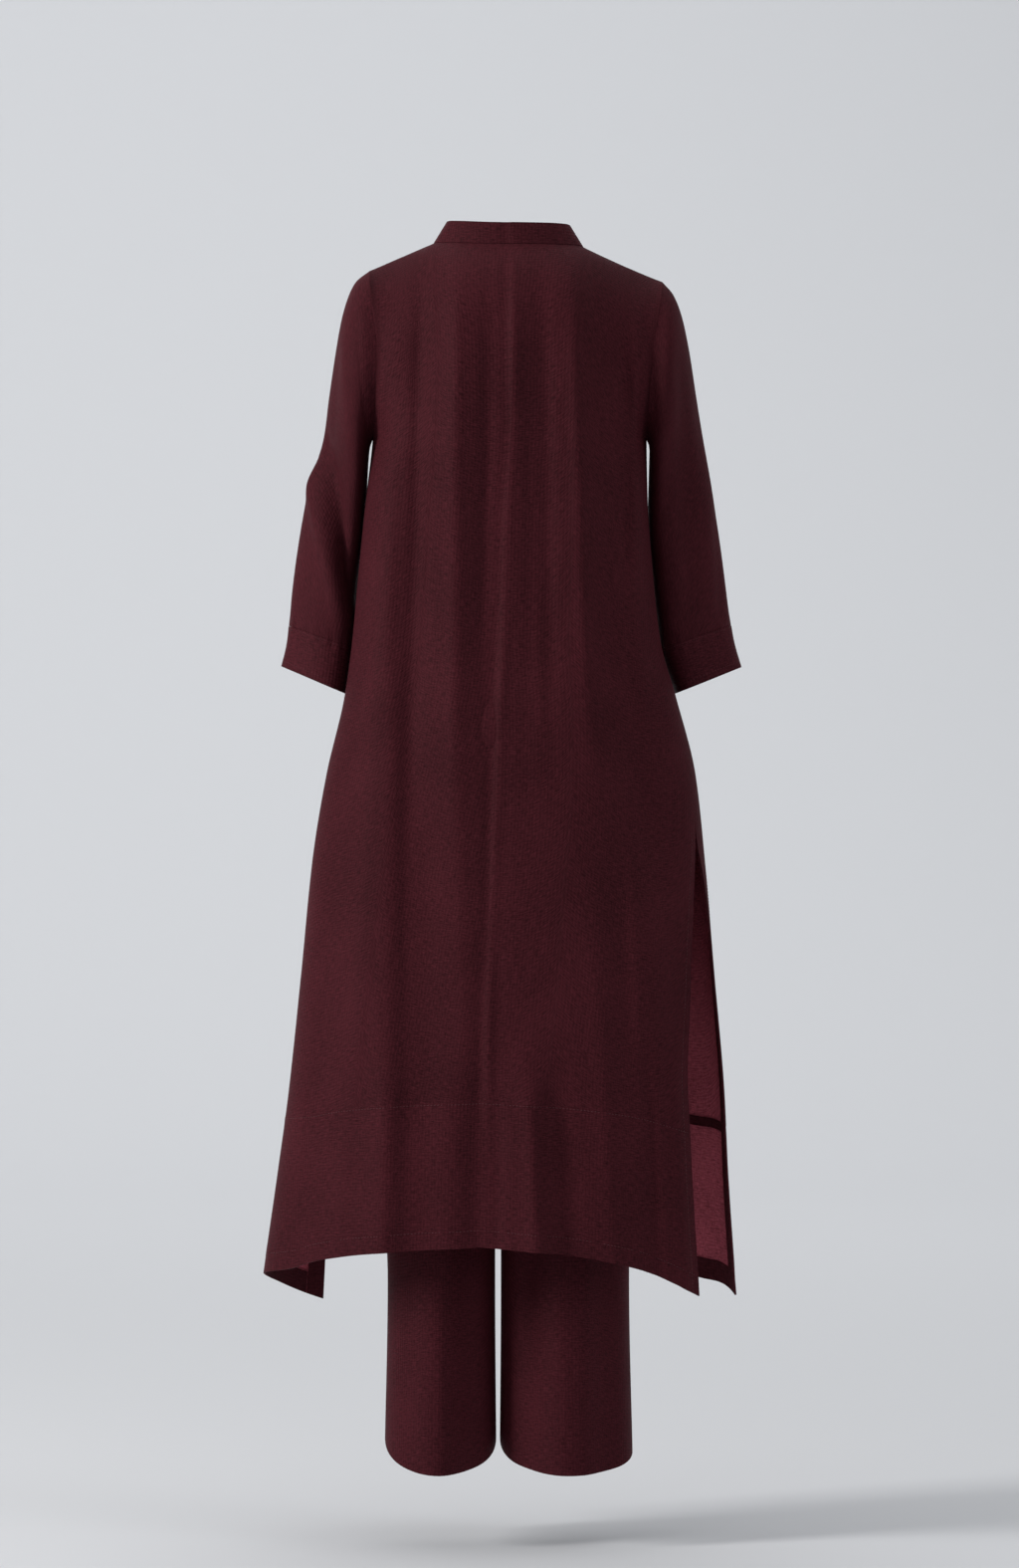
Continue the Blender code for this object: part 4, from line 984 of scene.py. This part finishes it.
def make_waistband(cloth):
    turn = 2 * np.pi * np.arange(WAISTBAND_SIDES) / WAISTBAND_SIDES
    levels = np.linspace(1, 0, WAISTBAND_ROWS + 1)[:, None]
    width = LEGS[0].outer_right - WAISTBAND_TAPER_WIDTH * levels
    depth = LEGS[0].half_depth - WAISTBAND_TAPER_DEPTH * levels
    gathers = WAIST_GATHER * np.sin(WAIST_GATHERS * turn) * levels * (1 - levels) * 4 * np.ones_like(turn)
    x = (width + gathers) * signed_power(np.sin(turn), TROUSER_SQUARENESS)
    y = -(depth + gathers) * signed_power(np.cos(turn), TROUSER_SQUARENESS)
    z = WAIST_Z + SEAM_GAP + WAISTBAND_HEIGHT * levels * np.ones_like(turn)
    points = np.stack([x, y, z], axis=-1)
    dress("waistband", "trouser_cloth", points, grid_normals(points, True), WAISTBAND_CLOTH,
          (cloth, cloth), closed=True)


def stitch_row(places, normals):
    """Corners and faces of small stitches laid along a line on the cloth."""
    steps = np.linalg.norm(np.diff(places, axis=0), axis=1)
    distance = np.concatenate([[0], np.cumsum(steps)])

    def at(spot, rows):
        return np.array([np.interp(spot, distance, rows[:, k]) for k in range(3)])

    vertices, faces = [], []
    for index in range(int(distance[-1] / STITCH_PITCH)):
        middle = (index + 0.5) * STITCH_PITCH
        reach = STITCH_LENGTH / 2
        ends = [at(spot, places) for spot in (middle - reach, middle, middle + reach)]
        out = unit(at(middle, normals))
        side = np.cross(unit(ends[2] - ends[0]), out)
        base = len(vertices)
        for place, swell in zip(ends, STITCH_SWELL):
            for turn in range(6):
                angle = 2 * math.pi * turn / 6
                offset = side * math.cos(angle) + out * math.sin(angle)
                vertices.append(place + out * STITCH_LIFT + offset * STITCH_WIDTH / 2 * swell)
        for ring in range(2):
            for turn in range(6):
                a = base + ring * 6 + turn
                b = base + ring * 6 + (turn + 1) % 6
                faces.append([a, b, b + 6, a + 6])
        faces.append([base + turn for turn in range(5, -1, -1)])
        faces.append([base + 12 + turn for turn in range(6)])
    return vertices, faces


def make_stitches(thread):
    """Rows of running stitch: both hems, the hem bands' seams, the slits' edges, the cuffs."""
    vertices, faces = [], []

    def sew(places, normals):
        start = len(vertices)
        new_vertices, new_faces = stitch_row(places, normals)
        vertices.extend(new_vertices)
        faces.extend([[start + i for i in face] for face in new_faces])

    for face in ("back", "front"):
        sides = (face + "_left", face + "_right")
        for share in (1 - (HEM_TURNING - 0.002) / BAND_HEIGHT, 0.016):
            halves = []
            for side in sides:
                shares = half_shares(side)
                shares[-1] -= 0.012
                halves.append(strip_grid(side, shares, share, share + 0.001))
            points, normals = both(halves, True)
            sew(points[0], normals[0])
        for side in sides:
            share = 1 - turning_share(side) * SLIT_STITCH_SHARE
            points, normals = slit_edge(side, np.array([share, share + 0.001]))
            sew(points[:, 0], normals[:, 0])
    for hand, table, sign in CUFFS:
        points = cuff_puckers(ring_grid(table, CUFF_RINGS, sign), 0)
        normals = grid_normals(points, True)
        for row in (1, CUFF_RINGS - 2):
            sew(*[np.concatenate([each[row], each[row, :1]]) for each in (points, normals)])
    points, normals = collar_grid()
    for row in (1, COLLAR_ROWS - 1):
        sew(points[row], normals[row])
    mesh = bpy.data.meshes.new("running_stitches")
    mesh.from_pydata([tuple(vertex) for vertex in vertices], [], faces)
    mesh.materials.append(thread)
    mesh.update()
    mesh.shade_smooth()
    piece = add_object("running_stitches", mesh)
    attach(piece, "root")


Finish = namedtuple("Finish", "rough sheen sheen_color gloss")
OUTSIDE_FINISH = Finish(0.62, 0.05, (0.60, 0.12, 0.16), 0.035)
INSIDE_FINISH = Finish(0.72, 0.05, (0.60, 0.20, 0.26), 0.03)
THREADS_A_METRE = 1500.0
KAFTAN_COLOR = (0.0460, 0.0085, 0.0120)
TROUSER_COLOR = (0.0450, 0.0083, 0.0118)
# Painted light: the turned cloth is coloured a little lighter than the kaftan cloth it is cut from, to lift
# the shade inside the slits and hems
TURNED_PAINTED_LIGHT_COLOR = (0.0560, 0.0110, 0.0150)
# Painted light: the kaftan's inner faces are coloured about nine times lighter than the cloth, standing in
# for light shining through the thin cloth onto the inside seen in the right slit
INSIDE_PAINTED_LIGHT_COLOR = (0.400, 0.085, 0.115)
THREAD_COLOR = (0.076, 0.015, 0.020)
DARK_SHARE = 0.58
LIGHT_SHARE = 1.50
THREAD_SHARES = (0.7, 1.3)
WEAVE_BUMP = (0.80, 0.00045)
SOFT_BUMP = (0.35, 0.0016)


def new_material(name):
    material = bpy.data.materials.new(name)
    material.use_nodes = True
    return material, material.node_tree.nodes, material.node_tree.links


def set_inputs(node, values):
    for socket, value in values.items():
        node.inputs[socket].default_value = value


def shade(color, share=1.0):
    return (*[channel * share for channel in color], 1.0)


def cloth_material(name, color, finish):
    """A plain weave with a slub, a soft sheen and slightly uneven colour."""
    material, nodes, links = new_material(name)
    shader = nodes["Principled BSDF"]
    weave = nodes.new("ShaderNodeUVMap")
    weave.uv_map = "weave"

    def noise(scale_x, scale_y, detail):
        mapping = nodes.new("ShaderNodeMapping")
        set_inputs(mapping, {"Scale": (scale_x, scale_y, 1.0)})
        texture = nodes.new("ShaderNodeTexNoise")
        set_inputs(texture, {"Scale": 1.0, "Detail": detail})
        links.new(weave.outputs["UV"], mapping.inputs["Vector"])
        links.new(mapping.outputs["Vector"], texture.inputs["Vector"])
        return texture.outputs["Fac"]

    def threads(direction):
        wave = nodes.new("ShaderNodeTexWave")
        wave.bands_direction = direction
        set_inputs(wave, {"Scale": THREADS_A_METRE / 20.0, "Distortion": 1.2, "Detail": 1.0,
                          "Detail Scale": 0.4})
        links.new(weave.outputs["UV"], wave.inputs["Vector"])
        return wave.outputs["Fac"]

    def combine(operation, first, second):
        node = nodes.new("ShaderNodeMath")
        node.operation = operation
        links.new(first, node.inputs[0])
        if isinstance(second, float):
            node.inputs[1].default_value = second
        else:
            links.new(second, node.inputs[1])
        return node.outputs[0]

    def bump(height, strength, distance):
        node = nodes.new("ShaderNodeBump")
        set_inputs(node, {"Strength": strength, "Distance": distance})
        links.new(height, node.inputs["Height"])
        return node

    grain = combine("MULTIPLY", combine("ADD", threads("X"), threads("Y")), 0.5)
    slub = noise(130.0, 800.0, 3.0)
    streak = noise(750.0, 150.0, 3.0)
    cloud = noise(9.0, 7.0, 3.0)
    mottled = combine("ADD", combine("MULTIPLY", slub, 0.50), combine("MULTIPLY", streak, 0.30))
    mottled = combine("ADD", mottled, combine("MULTIPLY", cloud, 0.20))
    ramp = nodes.new("ShaderNodeValToRGB")
    dark, light = ramp.color_ramp.elements
    dark.position, dark.color = 0.39, shade(color, DARK_SHARE)
    light.position, light.color = 0.61, shade(color, LIGHT_SHARE)
    links.new(mottled, ramp.inputs["Fac"])
    links.new(ramp.outputs["Color"], shader.inputs["Base Color"])
    rough = nodes.new("ShaderNodeMapRange")
    set_inputs(rough, {"To Min": finish.rough - 0.06, "To Max": finish.rough + 0.08})
    links.new(slub, rough.inputs["Value"])
    links.new(rough.outputs["Result"], shader.inputs["Roughness"])
    set_inputs(shader, {"Sheen Weight": finish.sheen, "Sheen Roughness": 0.45,
                        "Sheen Tint": shade(finish.sheen_color), "Specular IOR Level": finish.gloss})
    fine = bump(combine("ADD", grain, combine("MULTIPLY", slub, 1.3)), *WEAVE_BUMP)
    soft = bump(noise(26.0, 14.0, 2.0), *SOFT_BUMP)
    links.new(soft.outputs["Normal"], fine.inputs["Normal"])
    links.new(fine.outputs["Normal"], shader.inputs["Normal"])
    return material


def thread_material():
    material, nodes, links = new_material("thread")
    shader = nodes["Principled BSDF"]
    twist = nodes.new("ShaderNodeTexNoise")
    set_inputs(twist, {"Scale": 900.0})
    place = nodes.new("ShaderNodeTexCoord")
    links.new(place.outputs["Object"], twist.inputs["Vector"])
    ramp = nodes.new("ShaderNodeValToRGB")
    for element, share in zip(ramp.color_ramp.elements, THREAD_SHARES):
        element.color = shade(THREAD_COLOR, share)
    links.new(twist.outputs["Fac"], ramp.inputs["Fac"])
    links.new(ramp.outputs["Color"], shader.inputs["Base Color"])
    set_inputs(shader, {"Roughness": 0.5})
    return material


# Stage, light and camera
FLOOR_Z = -1.564
WALL_Y = 9.5
COVE_RADIUS = 4.0
WALL_TOP = 9.0
FLOOR_FRONT_Y = -10.0
FLOOR_HALF_WIDTH = 14.0
CAMERA_DISTANCE = 6.5
CAMERA_HEIGHT = -0.651
FRAME_HEIGHT = 1.89
FRAME_WIDTH_PIXELS = 1024
MIDDLE_COLUMN = 511
METRES_A_PIXEL = 0.0012
SENSOR_HEIGHT = 24.0
BACKDROP_COLOR = (0.66, 0.67, 0.69)
BACKDROP_ROUGHNESS = 0.9
ROOM_COLOR = (0.80, 0.82, 0.85)
ROOM_STRENGTH = 0.38

Light = namedtuple("Light", "name place target size power color")
LIGHTS = [
    Light("key", (-4.0, -1.75, 0.9), (0, 0, -0.65), (0.9, 2.0), 168.0, (1.0, 0.985, 0.97)),
    Light("fill", (3.6, -2.2, 0.2), (0, 0, -0.7), (1.2, 2.2), 24.0, (0.97, 0.98, 1.0)),
    Light("camera_side", (0.5, -6.0, 0.6), (0, 0, -0.7), (2.0, 2.0), 4.0, (1, 1, 1)),
    Light("backdrop_wash", (-2.0, 5.0, 4.0), (-1.0, 9.5, -0.5), (10.0, 2.0), 175.0, (1, 1, 1)),
    Light("cove_wash", (0.0, 4.0, 5.0), (0.0, 4.6, -1.6), (10.0, 4.0), 120.0, (1, 1, 1)),
    Light("floor_wash", (0.0, -0.5, 3.6), (0.0, -0.2, -1.6), (5.0, 3.0), 52.0, (1, 1, 1)),
]


def make_stage():
    """A floor that curves up into a plain backdrop."""
    profile = [(FLOOR_FRONT_Y, FLOOR_Z), (WALL_Y - COVE_RADIUS, FLOOR_Z)]
    for step in range(1, COVE_STEPS + 1):
        turn = math.pi / 2 * step / COVE_STEPS
        profile.append((WALL_Y - COVE_RADIUS + COVE_RADIUS * math.sin(turn),
                        FLOOR_Z + COVE_RADIUS * (1 - math.cos(turn))))
    profile.append((WALL_Y, WALL_TOP))
    vertices = [(x, y, z) for y, z in profile for x in (-FLOOR_HALF_WIDTH, FLOOR_HALF_WIDTH)]
    faces = [[2 * i, 2 * i + 1, 2 * i + 3, 2 * i + 2] for i in range(len(profile) - 1)]
    mesh = bpy.data.meshes.new("backdrop")
    mesh.from_pydata(vertices, [], faces)
    paint, nodes, links = new_material("backdrop_paint")
    set_inputs(nodes["Principled BSDF"], {"Base Color": shade(BACKDROP_COLOR),
                                          "Roughness": BACKDROP_ROUGHNESS})
    mesh.materials.append(paint)
    mesh.shade_smooth()
    add_object("backdrop", mesh)


def make_lights():
    for row in LIGHTS:
        data = bpy.data.lights.new(row.name, "AREA")
        data.shape = "RECTANGLE"
        data.size, data.size_y = row.size
        data.energy = row.power
        data.color = row.color
        light = add_object(row.name, data)
        light.location = row.place
        aim = Vector(row.target) - Vector(row.place)
        light.rotation_euler = aim.to_track_quat("-Z", "Y").to_euler()
    world = bpy.data.worlds.new("room")
    world.use_nodes = True
    set_inputs(world.node_tree.nodes["Background"],
               {"Color": shade(ROOM_COLOR), "Strength": ROOM_STRENGTH})
    bpy.context.scene.world = world


def make_camera():
    data = bpy.data.cameras.new("camera")
    data.sensor_fit = "VERTICAL"
    data.sensor_height = SENSOR_HEIGHT
    data.lens = SENSOR_HEIGHT * CAMERA_DISTANCE / FRAME_HEIGHT
    camera = add_object("camera", data)
    side = METRES_A_PIXEL * (FRAME_WIDTH_PIXELS / 2 - MIDDLE_COLUMN)
    camera.location = (side, -CAMERA_DISTANCE, CAMERA_HEIGHT)
    camera.rotation_euler = (math.pi / 2, 0.0, 0.0)
    bpy.context.scene.camera = camera


bpy.context.scene.view_settings.view_transform = "Standard"
make_camera()
make_lights()
make_stage()
kaftan = cloth_material("kaftan_weave", KAFTAN_COLOR, OUTSIDE_FINISH)
# The inner faces' material carries painted light, far lighter than the kaftan's own cloth
inside = cloth_material("kaftan_weave_inside_painted_light", INSIDE_PAINTED_LIGHT_COLOR, INSIDE_FINISH)
# The turned cloth's material carries painted light, a little lighter than the kaftan's own cloth; it also
# lines the sleeves and trousers
turned = cloth_material("turned_weave_painted_light", TURNED_PAINTED_LIGHT_COLOR, OUTSIDE_FINISH)
trousers = cloth_material("trouser_weave", TROUSER_COLOR, OUTSIDE_FINISH)
make_kaftan_panels(kaftan, inside)
make_sleeves(kaftan, turned)
make_collar(kaftan)
make_turnings(turned)
make_trousers(trousers, turned)
make_waistband(trousers)
make_stitches(thread_material())
